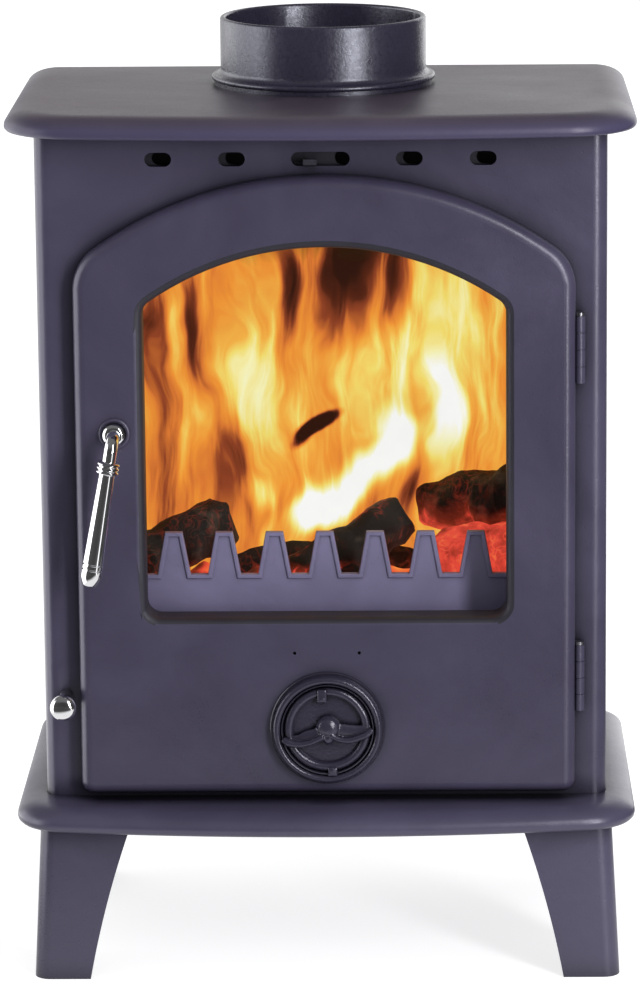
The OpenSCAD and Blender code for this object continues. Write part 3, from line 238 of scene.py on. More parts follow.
def setCamera():
    lens = {"place": (0.0578, -2.873, 0.9258), "tilt": 0.208, "turn": -0.0077, "roll": 0.0066,
            "focal": 173.76, "shiftX": -0.0643, "shiftY": -0.0585}
    bpy.ops.object.camera_add()
    camera = bpy.context.object
    camera.name = "photoCamera"
    camera.matrix_world = (
        Matrix.Translation(lens["place"])
        @ Matrix.Rotation(-lens["turn"], 4, "Z")
        @ Matrix.Rotation(radians(90) - lens["tilt"], 4, "X")
        @ Matrix.Rotation(-lens["roll"], 4, "Z")
    )
    camera.data.sensor_width = 36
    camera.data.lens = lens["focal"]
    camera.data.shift_x = lens["shiftX"]
    camera.data.shift_y = lens["shiftY"]
    camera.data.clip_end = 50
    bpy.context.scene.camera = camera


# wires a node tree: add() makes a node, links the inputs that are sockets and sets the rest
class Wiring:
    def __init__(self, tree):
        self.tree = tree
        tree.nodes.clear()

    def add(self, kind, inputs=None, **settings):
        node = self.tree.nodes.new(kind)
        for key, value in settings.items():
            setattr(node, key, value)
        for key, value in (inputs or {}).items():
            socket = node.inputs[key]
            if isinstance(value, bpy.types.NodeSocket):
                self.tree.links.new(value, socket)
            else:
                socket.default_value = value
        return node

    def math(self, operation, a, b=0.0, c=0.0):
        return self.add("ShaderNodeMath", {0: a, 1: b, 2: c}, operation=operation).outputs[0]

    def vectors(self, operation, *values):
        node = self.add("ShaderNodeVectorMath", dict(enumerate(values)), operation=operation)
        return node.outputs["Vector"]

    def axes(self, vector):
        return self.add("ShaderNodeSeparateXYZ", {"Vector": vector}).outputs

    def mapped(self, vector, **inputs):
        return self.add("ShaderNodeMapping", {"Vector": vector, **inputs}).outputs["Vector"]

    def coords(self, scale=(1, 1, 1), turn=(0, 0, 0)):
        source = self.add("ShaderNodeTexCoord").outputs["Object"]
        return self.mapped(source, Rotation=turn, Scale=scale)

    def noise(self, vector, scale, detail, roughness, distortion=0.0):
        node = self.add("ShaderNodeTexNoise", {
            "Vector": vector, "Scale": scale, "Detail": detail, "Roughness": roughness,
            "Distortion": distortion})
        return node.outputs["Fac"]

    def span(self, value, low, high, to=(0.0, 1.0)):
        node = self.add("ShaderNodeMapRange", {
            "Value": value, "From Min": low, "From Max": high,
            "To Min": to[0], "To Max": to[1]})
        return node.outputs["Result"]

    def ramp(self, value, stops):
        node = self.add("ShaderNodeValToRGB", {"Fac": value})
        elements = node.color_ramp.elements
        while len(elements) < len(stops):
            elements.new(0.5)
        for element, (place, colour) in zip(elements, stops):
            element.position = place
            element.color = (*colour, 1)
        return node.outputs["Color"]

    def blend(self, share, a, b):
        node = self.add("ShaderNodeMix", {"Factor": share}, data_type="RGBA")
        for socket, value in ((node.inputs[6], a), (node.inputs[7], b)):
            if isinstance(value, bpy.types.NodeSocket):
                self.tree.links.new(value, socket)
            else:
                socket.default_value = (*value, 1)
        return node.outputs[2]

    def bump(self, height, depth, strength, before=None):
        inputs = {"Height": height, "Distance": depth * mm, "Strength": strength}
        if before:
            inputs["Normal"] = before
        return self.add("ShaderNodeBump", inputs).outputs["Normal"]


def newMaterial(name):
    material = bpy.data.materials.new(name)
    material.use_nodes = True
    return material, Wiring(material.node_tree)


def surface(wires, inputs):
    shader = wires.add("ShaderNodeBsdfPrincipled", inputs)
    wires.add("ShaderNodeOutputMaterial", {"Surface": shader.outputs["BSDF"]})


# satin stove paint over cast iron: sand grain, pits, slight waves and stains, with painted
# shade that darkens creases and recesses;
# scales are per metre, depths and the reach of the painted shade in mm
castGrain = {"sand": 900, "waves": 34, "patches": 8, "pits": 190.0, "stipple": 420,
             "sandDeep": 0.085, "wavesDeep": 1.0, "pitsDeep": 0.1,
             "pitTone": (0.012, 0.011, 0.016), "paintedShadeTone": (0.006, 0.005, 0.009)}


def castPaint(name, tone, grain=1.0, pits=1.0, gloss=(0.27, 0.39), stain=0.15, warm=(1, 1, 1),
              sheen=(0.9, 0.9, 1), polish=0.68, shadeReach=9.0, stipple=0.0, roll=None):
    material, wires = newMaterial(name)
    place = wires.coords()
    sand = wires.noise(place, castGrain["sand"], 3, 0.6)
    waves = wires.noise(place, castGrain["waves"], 3, 0.55)
    patches = wires.noise(place, castGrain["patches"], 5, 0.65, 0.6)
    cells = wires.add("ShaderNodeTexVoronoi", {"Vector": place, "Scale": castGrain["pits"]},
                      feature="F1").outputs["Distance"]
    pit = wires.span(cells, 0.0, 0.16)
    normal = wires.bump(waves, castGrain["wavesDeep"], 0.34)
    normal = wires.bump(pit, castGrain["pitsDeep"] * pits, 0.7, normal)
    normal = wires.bump(sand, castGrain["sandDeep"] * grain, 0.7, normal)
    if stipple:
        dots = wires.noise(place, castGrain["stipple"], 3, 0.6)
        normal = wires.bump(dots, stipple, 0.8, normal)
    dark = tuple(c * (1 - stain) for c in tone)
    light = tuple(c * (1 + stain) * w for c, w in zip(tone, warm))
    colour = wires.blend(wires.span(patches, 0.35, 0.68), dark, light)
    # a band below a height takes its own tone: on the top plate this keeps the rolled lip
    # violet and the flat top warmer, painted light
    if roll:
        flat = wires.span(wires.axes(place)["Z"], roll["from"] * mm, roll["to"] * mm)
        colour = wires.blend(flat, roll["tone"], colour)
    colour = wires.blend(wires.span(pit, 0.0, 0.6, (0.35, 0.0)), colour, castGrain["pitTone"])
    # painted shade: ambient occlusion darkens creases and recesses towards a near-black tone
    corner = wires.add("ShaderNodeAmbientOcclusion", {"Distance": shadeReach * mm}, samples=6)
    openness = wires.span(corner.outputs["AO"], 0.35, 0.93)
    colour = wires.blend(openness, castGrain["paintedShadeTone"], colour)
    rubbed = wires.math("ADD", wires.math("MULTIPLY", patches, 0.6),
                        wires.math("MULTIPLY", sand, 0.4))
    surface(wires, {"Base Color": colour, "Roughness": wires.span(rubbed, 0.35, 0.65, gloss),
                    "Normal": normal, "Specular IOR Level": polish,
                    "Specular Tint": (*sheen, 1)})
    return material


# the rougher, glossier cast surface of the collar
roughIron = {"lumps": 380, "grit": 1200, "patches": 14, "lumpsDeep": 0.26, "gritDeep": 0.14,
             "gloss": (0.22, 0.36), "mottle": 0.2, "sheen": (0.86, 0.88, 1, 1)}


def roughCast(name, tone):
    material, wires = newMaterial(name)
    place = wires.coords()
    lumps = wires.noise(place, roughIron["lumps"], 4, 0.7)
    grit = wires.noise(place, roughIron["grit"], 2, 0.5)
    patches = wires.noise(place, roughIron["patches"], 4, 0.6)
    normal = wires.bump(lumps, roughIron["lumpsDeep"], 0.6)
    normal = wires.bump(grit, roughIron["gritDeep"], 0.7, normal)
    colour = wires.blend(wires.span(patches, 0.3, 0.7),
                         tuple(c * (1 - roughIron["mottle"]) for c in tone),
                         tuple(c * (1 + roughIron["mottle"]) for c in tone))
    surface(wires, {"Base Color": colour, "Normal": normal,
                    "Roughness": wires.span(lumps, 0.3, 0.7, roughIron["gloss"]),
                    "Specular IOR Level": 1.0, "Specular Tint": roughIron["sheen"]})
    return material


# bright or plated metal: faint smears, and hairlines that run upright
def metal(name, tone, gloss, brushed=0.0, worn=0.1):
    material, wires = newMaterial(name)
    smears = wires.noise(wires.coords(), 60, 4, 0.6)
    hair = wires.noise(wires.coords(scale=(1, 1, 0.06)), 1800, 2, 0.5)
    dull = tuple(c * (1 - worn) for c in tone)
    surface(wires, {"Base Color": wires.blend(wires.span(smears, 0.35, 0.7), dull, tone),
                    "Metallic": 1.0, "Roughness": wires.span(smears, 0.3, 0.7, gloss),
                    "Normal": wires.bump(hair, 0.02, brushed)})
    return material


# firebrick, sooted from the top down and chalky at the foot
brickLook = {"flakes": 320, "patches": 20, "sootFrom": 0.27, "sootTo": 0.42,
             "dark": (0.34, 0.24, 0.14), "pale": (0.55, 0.43, 0.28),
             "soot": (0.02, 0.017, 0.015)}


def fireBrick(name):
    material, wires = newMaterial(name)
    place = wires.coords()
    flakes = wires.noise(place, brickLook["flakes"], 4, 0.7)
    patches = wires.noise(place, brickLook["patches"], 4, 0.6)
    height = wires.math("ADD", wires.axes(place)["Z"], wires.math("MULTIPLY", patches, 0.09))
    soot = wires.span(height, brickLook["sootFrom"], brickLook["sootTo"], (0.1, 0.85))
    colour = wires.blend(wires.span(flakes, 0.3, 0.7), brickLook["dark"], brickLook["pale"])
    surface(wires, {"Base Color": wires.blend(soot, colour, brickLook["soot"]),
                    "Roughness": 0.92, "Normal": wires.bump(flakes, 0.7, 0.8)})
    return material


def braidedRope(name):
    material, wires = newMaterial(name)
    braid = wires.add("ShaderNodeTexWave", {"Vector": wires.coords(turn=(0.5, 0.6, 0.7)),
                      "Scale": 150.0, "Distortion": 3.0, "Detail": 2.0}).outputs["Fac"]
    colour = wires.blend(braid, (0.012, 0.012, 0.012), (0.07, 0.068, 0.065))
    surface(wires, {"Base Color": colour, "Roughness": 0.95,
                    "Normal": wires.bump(braid, 0.6, 0.9)})
    return material


# stove glass: clear, with thin brown patches of haze
def stoveGlass(name):
    material, wires = newMaterial(name)
    haze = wires.noise(wires.coords(), 16, 4, 0.6)
    colour = wires.blend(haze, (0.02, 0.014, 0.01), (0.05, 0.035, 0.025))
    surface(wires, {"Base Color": colour, "Roughness": 0.04, "Specular IOR Level": 0.5,
                    "Alpha": wires.span(haze, 0.3, 0.75, (0.02, 0.07))})
    return material


# one soft spot of heat (or of smoke, when its share is negative) on the sheet of flames:
# its middle, half width and half height in mm, and its lean in degrees
def heatSpot(wires, source, x, z, wide, high, lean=0.0):
    node = wires.add("ShaderNodeMapping", {
        "Vector": source, "Location": (x * mm, 0, z * mm), "Rotation": (0, radians(lean), 0),
        "Scale": (wide * mm, 100, high * mm)}, vector_type="TEXTURE")
    spot = wires.add("ShaderNodeTexGradient", {"Vector": node.outputs["Vector"]},
                     gradient_type="SPHERICAL")
    return wires.add("ShaderNodeMapRange", {"Value": spot.outputs["Fac"]},
                     interpolation_type="SMOOTHSTEP").outputs["Result"]


def flames(name, settings):
    material, wires = newMaterial(name)
    place = wires.coords()
    drift = wires.add("ShaderNodeTexNoise", {"Vector": wires.coords(scale=(1, 0, 0.45)),
                      "Scale": settings["swirl"], "Detail": 2.0}).outputs["Color"]
    drift = wires.vectors("SUBTRACT", drift, (0.5, 0.5, 0.5))
    bent = wires.vectors("ADD", place, wires.vectors("MULTIPLY", drift, settings["drift"]))
    tall = wires.mapped(bent, Scale=(1, 0, settings["stretch"]))
    heat = settings["base"]
    for share, *streak in settings["streaks"]:
        heat = wires.math("MULTIPLY_ADD", wires.noise(tall, *streak), share, heat)
    for share, *spot in settings["spots"]:
        heat = wires.math("MULTIPLY_ADD", heatSpot(wires, bent, *spot), share, heat)
    for share, *spot in settings["twigs"]:
        heat = wires.math("MULTIPLY_ADD", heatSpot(wires, place, *spot), share, heat)
    # the flames thin out towards the sides and the top of the firebox
    parts = wires.axes(place)
    tongue = wires.noise(tall, settings["tongues"], 2, 0.5)
    aside = wires.math("MULTIPLY_ADD", tongue, settings["sideLick"],
                       wires.math("ABSOLUTE", parts["X"]))
    above = wires.math("MULTIPLY_ADD", tongue, settings["topLick"], parts["Z"])
    body = wires.math("MULTIPLY", wires.span(aside, *settings["sideFade"], (1.0, 0.0)),
                      wires.span(above, *settings["topFade"], (1.0, 0.0)))
    surface(wires, {"Base Color": (0, 0, 0, 1), "Roughness": 1.0, "Specular IOR Level": 0.0,
                    "Emission Color": wires.ramp(heat, settings["colours"]),
                    "Emission Strength": 1.0, "Alpha": body})
    return material


# charred wood: black ridges with ash on top, a glow in the cracks, and coals below a level (m)
woodLook = {"ridges": 90, "ash": 45, "heat": 30, "warp": 40.0, "warpBy": 0.03, "cracks": 62.0,
            "crackWide": 0.09, "char": (0.012, 0.009, 0.007), "ashTone": (0.09, 0.07, 0.05),
            "fire": [(0.0, (0.0, 0.0, 0.0)), (0.3, (0.16, 0.015, 0.006)),
                     (0.6, (0.78, 0.065, 0.04)), (1.0, (0.95, 0.25, 0.06))]}


def charredWood(name, glow, level):
    material, wires = newMaterial(name)
    place = wires.coords()
    ridges = wires.noise(place, woodLook["ridges"], 4, 0.65)
    ash = wires.noise(place, woodLook["ash"], 3, 0.6)
    heat = wires.noise(place, woodLook["heat"], 3, 0.6)
    warp = wires.add("ShaderNodeTexNoise", {"Vector": place, "Scale": woodLook["warp"]})
    bent = wires.vectors("MULTIPLY_ADD", place, warp.outputs["Color"],
                         (woodLook["warpBy"],) * 3)
    bent = wires.vectors("ADD", place, bent)
    cells = wires.add("ShaderNodeTexVoronoi", {"Vector": bent, "Scale": woodLook["cracks"]},
                      feature="DISTANCE_TO_EDGE").outputs["Distance"]
    crack = wires.math("MULTIPLY", wires.span(cells, 0.0, woodLook["crackWide"], (1.0, 0.0)),
                       wires.span(heat, 0.45, 0.65))
    depth = wires.math("MULTIPLY", wires.axes(place)["Z"], -1.0)
    low = wires.math("MULTIPLY_ADD", heat, 0.05, depth)
    coal = wires.span(low, 0.018 - level, 0.04 - level)
    warmth = wires.math("MULTIPLY_ADD", coal, wires.math("MULTIPLY_ADD", ridges, 0.9, 0.1),
                        wires.math("MULTIPLY", crack, glow))
    colour = wires.blend(wires.span(ash, 0.55, 0.75), woodLook["char"], woodLook["ashTone"])
    surface(wires, {"Base Color": colour, "Roughness": 0.9, "Emission Strength": 1.0,
                    "Emission Color": wires.ramp(warmth, woodLook["fire"]),
                    "Normal": wires.bump(ridges, 2.0, 0.9)})
    return material


# glowing coals, hotter towards the right
emberLook = {"coals": 75.0, "heat": 36, "half": 0.13, "hotter": (-0.2, 0.16),
             "fire": [(0.3, (0.01, 0.004, 0.002)), (0.48, (0.2, 0.018, 0.008)),
                      (0.62, (0.8, 0.07, 0.035)), (0.85, (0.95, 0.25, 0.05))]}


def embers(name):
    material, wires = newMaterial(name)
    place = wires.coords()
    coals = wires.add("ShaderNodeTexVoronoi", {"Vector": place, "Scale": emberLook["coals"]},
                      feature="F1").outputs["Distance"]
    half = emberLook["half"]
    side = wires.span(wires.axes(place)["X"], -half, half, emberLook["hotter"])
    heat = wires.math("ADD", wires.noise(place, emberLook["heat"], 3, 0.6), side)
    glow = wires.math("ADD", wires.math("MULTIPLY", coals, 0.5),
                      wires.math("MULTIPLY", heat, 0.75))
    surface(wires, {"Base Color": (0.03, 0.02, 0.015, 1), "Roughness": 0.95,
                    "Emission Color": wires.ramp(glow, emberLook["fire"]),
                    "Emission Strength": 1.0, "Normal": wires.bump(heat, 2.0, 0.8)})
    return material


# light by direction, from behind round by the left: white behind, a bright panel at the left,
# a dark front and right with one narrow strip; bright metal shows it, the camera sees white
panels = {"level": 1.0, "top": 0.8, "topFrom": (0.35, 0.75),
          "mirroredTop": 0.16, "mirroredTopFrom": (0.3, 0.6),
          "around": [(0.0, 1.0), (0.1, 1.0), (0.13, 2.6), (0.265, 2.6), (0.275, 3.4),
                     (0.315, 3.4), (0.325, 0.08), (0.5, 0.05), (0.576, 0.06), (0.583, 1.6),
                     (0.604, 1.6), (0.611, 0.05), (0.74, 0.05), (0.89, 0.08), (0.92, 2.0),
                     (0.96, 2.0), (1.0, 1.0)],
          "soft": [(0.0, 0.75), (0.2, 0.5), (0.36, 0.36), (0.6, 0.36), (0.78, 0.45),
                   (1.0, 0.75)]}


def panelLight(wires, parts, stops):
    turn = wires.math("ARCTAN2", parts["X"], wires.math("MULTIPLY", parts["Y"], -1.0))
    return wires.ramp(wires.span(turn, -pi, pi), [(place, (v, v, v)) for place, v in stops])


def setStudio():
    world = bpy.data.worlds.new("studio")
    bpy.context.scene.world = world
    world.use_nodes = True
    world.cycles.sampling_method = "NONE"
    wires = Wiring(world.node_tree)
    parts = wires.axes(wires.add("ShaderNodeTexCoord").outputs["Generated"])
    path = wires.add("ShaderNodeLightPath").outputs
    soft = wires.blend(wires.span(parts["Z"], *panels["topFrom"]),
                       panelLight(wires, parts, panels["soft"]), (panels["top"],) * 3)
    bright = wires.blend(wires.span(parts["Z"], *panels["mirroredTopFrom"]),
                         panelLight(wires, parts, panels["around"]),
                         (panels["mirroredTop"],) * 3)
    light = wires.blend(path["Is Glossy Ray"], soft, bright)
    seen = wires.math("MAXIMUM", path["Is Camera Ray"], path["Is Transmission Ray"])
    sky = wires.add("ShaderNodeBackground", {"Color": light, "Strength": panels["level"]})
    plain = wires.add("ShaderNodeBackground", {"Color": (1, 1, 1, 1), "Strength": 1.0})
    both = wires.add("ShaderNodeMixShader", {0: seen, 1: sky.outputs[0], 2: plain.outputs[0]})
    wires.add("ShaderNodeOutputWorld", {"Surface": both.outputs[0]})


# a narrow strip at the right front, and a weak panel at the left: places and sizes in metres
lamps = {"keyStrip": {"place": (1.25, -1.75, 0.95), "aim": (0, 0, 0.5),
                      "wide": 0.34, "tall": 1.8, "watts": 35},
         "leftPanel": {"place": (-2.0, -0.5, 0.9), "aim": (0, 0, 0.35),
                       "wide": 0.4, "tall": 1.6, "watts": 2}}


def addLamp(name, place, aim, wide, tall, watts):
    clearSelection()
    bpy.ops.object.light_add(type="AREA", location=place)
    lamp = bpy.context.object
    lamp.name = name
    lamp.data.shape = "RECTANGLE"
    lamp.data.size = wide
    lamp.data.size_y = tall
    lamp.data.energy = watts
    lamp.rotation_euler = (Vector(aim) - Vector(place)).to_track_quat("-Z", "Y").to_euler()


# the camera sees the floor nearly white; bright metal sees white close by and, from whiteTo
# out to panelsFrom, ever more of the panels' light
floorLook = {"size": 16, "dark": (0.58, 0.58, 0.59), "pale": (0.62, 0.62, 0.63), "lift": 0.72,
             "whiteTo": 0.42, "panelsFrom": 0.58, "mirroredWhite": 0.95}


def setFloor():
    clearSelection()
    bpy.ops.mesh.primitive_grid_add(x_subdivisions=8, y_subdivisions=8, size=floorLook["size"])
    floor = named("floor")
    material, wires = newMaterial("paleFloor")
    place = wires.coords()
    cloud = wires.noise(place, 0.8, 3, 0.5)
    colour = wires.blend(cloud, floorLook["dark"], floorLook["pale"])
    path = wires.add("ShaderNodeLightPath").outputs
    away = wires.add("ShaderNodeVectorMath", {0: place}, operation="LENGTH").outputs["Value"]
    mirrored = wires.blend(wires.span(away, floorLook["whiteTo"], floorLook["panelsFrom"]),
                           (floorLook["mirroredWhite"],) * 3,
                           panelLight(wires, wires.axes(place), panels["around"]))
    colour = wires.blend(path["Is Glossy Ray"], colour, (0.0, 0.0, 0.0))
    lift = wires.math("MULTIPLY_ADD", path["Is Camera Ray"], floorLook["lift"],
                      path["Is Glossy Ray"])
    surface(wires, {"Base Color": colour, "Roughness": 0.8, "Specular IOR Level": 0.1,
                    "Emission Color": wires.blend(path["Is Glossy Ray"], (1, 1, 1), mirrored),
                    "Emission Strength": lift})
    floor.data.materials.append(material)


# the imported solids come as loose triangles: this shades their curves smooth and keeps creases
smoothing = {"merge": 0.01, "crease": 32}


def smoothingGroup():
    group = bpy.data.node_groups.new("smoothCurves", "GeometryNodeTree")
    group.interface.new_socket("Geometry", in_out="INPUT", socket_type="NodeSocketGeometry")
    group.interface.new_socket("Geometry", in_out="OUTPUT", socket_type="NodeSocketGeometry")
    wires = Wiring(group)
    loose = wires.add("NodeGroupInput")
    merged = wires.add("GeometryNodeMergeByDistance", {
        "Geometry": loose.outputs[0], "Distance": smoothing["merge"] * mm})
    smooth = wires.add("GeometryNodeSetShadeSmooth", {"Geometry": merged.outputs[0]},
                       domain="FACE")
    angle = wires.add("GeometryNodeInputMeshEdgeAngle").outputs["Unsigned Angle"]
    crease = wires.add("FunctionNodeCompare", {0: angle, 1: radians(smoothing["crease"])},
                       operation="GREATER_THAN", data_type="FLOAT")
    creased = wires.add("GeometryNodeSetShadeSmooth", {
        "Geometry": smooth.outputs[0], "Selection": crease.outputs[0],
        "Shade Smooth": False}, domain="EDGE")
    wires.add("NodeGroupOutput", {0: creased.outputs[0]})
    return group


setCamera()
setStudio()
setFloor()
for name, lamp in lamps.items():
    addLamp(name, **lamp)
bpy.context.scene.view_settings.view_transform = "Standard"
print("stage: camera, lamps and floor are set")

# each paint's painted shade reaches its own depth: 15 mm on the body, which darkens the front
# plate beside the door
paint = castPaint("stovePaint", (0.066, 0.058, 0.103), shadeReach=15.0)
# painted light: the top plate's flat top is warmer in tone than the body paint and than its
# rolled lip, for the brownish look of the lit top
plateTop = castPaint("plateTop", (0.06, 0.048, 0.072), gloss=(0.34, 0.46), stain=0.16,
                     warm=(1.1, 1, 0.96), sheen=(1, 0.93, 1), polish=0.45,
                     roll={"from": 526, "to": 533.6, "tone": (0.062, 0.055, 0.11)})
doorPaint = castPaint("doorPaint", (0.058, 0.05, 0.09))
# painted light: the fire fence's tone is lifted well above the body paint, to stand in for
# light it lacks behind the glass
fencePaint = castPaint("fencePaint", (0.2, 0.18, 0.31), grain=1.2, gloss=(0.4, 0.55),
                       stain=0.2, shadeReach=3.0)
wheelPaint = castPaint("wheelPaint", (0.03, 0.026, 0.046), grain=1.6, gloss=(0.2, 0.3),
                       shadeReach=5.0, stipple=0.22)
collarIron = roughCast("collarIron", (0.026, 0.023, 0.042))
sliderPaint = castPaint("sliderPaint", (0.035, 0.031, 0.045), gloss=(0.4, 0.5))
insideIron = castPaint("insideIron", (0.028, 0.024, 0.024), grain=2.0, pits=2.0,
                       gloss=(0.65, 0.85), stain=0.3)
chrome = metal("chrome", (0.86, 0.86, 0.88), (0.05, 0.12))
steel = metal("zincSteel", (0.42, 0.42, 0.45), (0.28, 0.45), brushed=0.6, worn=0.3)
brick = fireBrick("fireBrick")
rope = braidedRope("braidedRope")
# painted shade: the near-black tone of the window return, where the rolled edge turns into the
# door
windowReturnShade = castPaint("windowReturnShade", (0.016, 0.014, 0.022), gloss=(0.5, 0.62), stain=0.3)
glass = stoveGlass("stoveGlass")

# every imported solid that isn't named here is a casting in the plain stove paint
coats = {
    plateTop: ["top_plate"],
    doorPaint: ["door"],
    fencePaint: ["fire_fence"],
    wheelPaint: ["air_wheel"],
    collarIron: ["flue_collar"],
    insideIron: ["grate_frame", "riddling_grate", "riddling_link", "baffle", "airwash_plate",
                 "ash_pan", "ash_pan_handle", "slider_rails", "glass_clips"],
    sliderPaint: ["air_slider"],
    chrome: ["handle_lever", "riddling_knob"],
    steel: ["leg_bolts", "tie_rods", "tie_nuts", "collar_bolts", "rear_cover_bolts",
            "handle_spindle", "latch_cam", "cam_nut", "wheel_stud", "riddling_rod",
            "clip_screws", "upper_hinge_pin", "lower_hinge_pin"],
    brick: ["left_brick", "right_brick", "back_brick"],
    rope: ["glass_gasket", "door_rope"],
    glass: ["door_glass"],
}
coatOf = {name: material for material, names in coats.items() for name in names}
smoothCurves = smoothingGroup()
for name, node in nodes.items():
    node.data.materials.clear()
    node.data.materials.append(coatOf.get(name, paint))
    curve = node.modifiers.new("smoothCurves", "NODES")
    curve.node_group = smoothCurves
print("stage: the packed solids have their finishes")


# the flames: one curved sheet from foot to head, bowed forward at the sides; each spot is
# (share, x, z, half width, half height, lean), dark where the share is negative, and the
# twigs are the spots that don't drift with the flames
fire = {"half": 136, "low": 213, "high": 452, "foot": 38, "head": -26, "grid": (48, 40),
        "rows": 8, "bowFrom": (20, 50, 80, 105, 125), "bow": -5,
        "swirl": 22.0, "drift": (0.055, 0, 0.05), "stretch": 0.15, "base": -0.215,
        "streaks": [(0.85, 44, 2, 0.5), (0.46, 105, 3, 0.55), (0.2, 260, 2, 0.5)],
        "tongues": 160, "sideLick": 0.012, "sideFade": (0.124, 0.137),
        "topLick": 0.03, "topFade": (0.447, 0.468),
        "spots": [
            (0.55, 71, 328, 13, 60), (0.5, 42, 310, 24, 34, -10),
            (0.75, 16, 281, 20, 72, 52), (0.5, -14, 266, 17, 30, 30),
            (0.32, -40, 340, 30, 62, -14), (0.2, 76, 396, 40, 88),
            (0.3, -48, 279, 12, 22, -20), (0.2, -88, 318, 12, 46, 8),
            (0.2, 44, 345, 42, 60, -8), (-0.55, -76, 388, 14, 66, -4),
            (-0.65, 14, 424, 24, 68, 6), (-0.45, 44, 428, 20, 52, 4),
            (-0.4, -24, 416, 12, 46, -6), (-0.32, -108, 388, 16, 68),
            (-0.28, -62, 300, 20, 50), (-0.3, 60, 276, 13, 30), (-0.2, -98, 300, 26, 90)],
        "twigs": [(-1.6, -5, 322, 6.5, 21, 60), (-0.9, -14, 314, 6, 14, 40)],
        "colours": [
            (0.0, (0.03, 0.008, 0.004)), (0.16, (0.1, 0.02, 0.008)), (0.28, (0.3, 0.06, 0.02)),
            (0.4, (0.74, 0.2, 0.035)), (0.52, (0.9, 0.31, 0.04)), (0.64, (0.95, 0.47, 0.07)),
            (0.76, (0.94, 0.76, 0.17)), (0.88, (0.97, 0.93, 0.5)), (1.0, (1.0, 1.0, 0.98))]}


def buildFlames():
    clearSelection()
    across, upward = fire["grid"]
    middle = (fire["low"] + fire["high"]) / 2
    bpy.ops.mesh.primitive_grid_add(x_subdivisions=across, y_subdivisions=upward, size=1,
                                    location=at(0, 0, middle), rotation=(radians(90), 0, 0))
    sheet = named("flames")
    sheet.scale = (2 * fire["half"] * mm, (fire["high"] - fire["low"]) * mm, 1)
    bpy.ops.object.transform_apply(location=True, rotation=True, scale=True)
    # bows the sheet round the logs and leans its head under the baffle, row by row
    rows = fire["rows"]
    step = (fire["high"] - fire["low"]) / rows
    for row in range(rows):
        top = fire["low"] + (row + 0.5) * step
        pick(sheet, "VERT", lambda place, normal: place.z > top)
        lean = (fire["head"] - fire["foot"]) / rows * (0.4 + 1.2 * row / (rows - 1))
        bpy.ops.transform.translate(value=at(0, lean, 0))
    pick(sheet, "VERT", lambda place, normal: True)
    bpy.ops.transform.translate(value=at(0, fire["foot"], 0))
    for edge in fire["bowFrom"]:
        pick(sheet, "VERT", lambda place, normal: abs(place.x) > edge)
        bpy.ops.transform.translate(value=at(0, fire["bow"], 0))
    bpy.ops.object.mode_set(mode="OBJECT")
    smooth = sheet.modifiers.new("soften", "CORRECTIVE_SMOOTH")
    smooth.iterations = 12
    smooth.use_only_smooth = True
    smooth.use_pin_boundary = False
    applyAll(sheet)
    finished(sheet, "stove", flames("flames", fire), smooth=60)


# each log is (name, radius, one end, the other end); a wood is (name, glow in its cracks, level
# in metres that its coals glow below)
logs = {"sides": 18, "steps": 9, "wobble": 0.08, "thick": (0.9, 1.08), "ends": 0.8,
        "bark": 0.016, "rough": 5.0,
        "list": [("logLeft", 17, (-126, -10, 236), (-60, 10, 263)),
                 ("logRight", 19, (124, -8, 281), (62, 30, 268)),
                 ("logMiddle", 15, (-24, -18, 228), (50, 2, 267)),
                 ("logBack", 17, (-60, 34, 226), (70, 40, 230)),
                 ("stick", 6, (36, -30, 225), (-6, -12, 246)),
                 ("emberLog", 21, (126, -22, 250), (66, -8, 238))],
        "woods": {"logRight": ("blackLog", 0.2, 0.27), "emberLog": ("emberLog", 0.6, 0.29),
                  "logMiddle": ("crackedLog", 0.75, 0.24)},
        "otherWood": ("charredLog", 0.35, 0.215)}


def buildLog(name, radius, start, end, seed):
    random.seed(seed)
    steps = logs["steps"]
    wobble = radius * logs["wobble"]
    stations = []
    for i in range(steps + 1):
        share = i / steps
        spot = [a + (b - a) * share + random.uniform(-wobble, wobble)
                for a, b in zip(start, end)]
        thick = radius * random.uniform(*logs["thick"])
        stations.append((*spot, thick * (logs["ends"] if i in (0, steps) else 1)))
    log = lofted(name, stations, logs["sides"])
    pick(log, "FACE", lambda place, normal: True)
    bpy.ops.mesh.subdivide(number_cuts=2)
    bpy.ops.object.mode_set(mode="OBJECT")
    bark = bpy.data.textures.new(name + "Bark", "VORONOI")
    bark.noise_scale = logs["bark"]
    rough = log.modifiers.new("bark", "DISPLACE")
    rough.texture = bark
    rough.strength = logs["rough"] * mm
    rough.mid_level = 0.6
    applyAll(log)
    return log


# the heap of embers: its middle height, and the level (mm) that it is cut off flat at
bed = {"size": (268, 92), "grid": (90, 44), "height": 222, "level": 213, "lump": 0.02,
       "heap": 0.02, "sunk": 0.35}


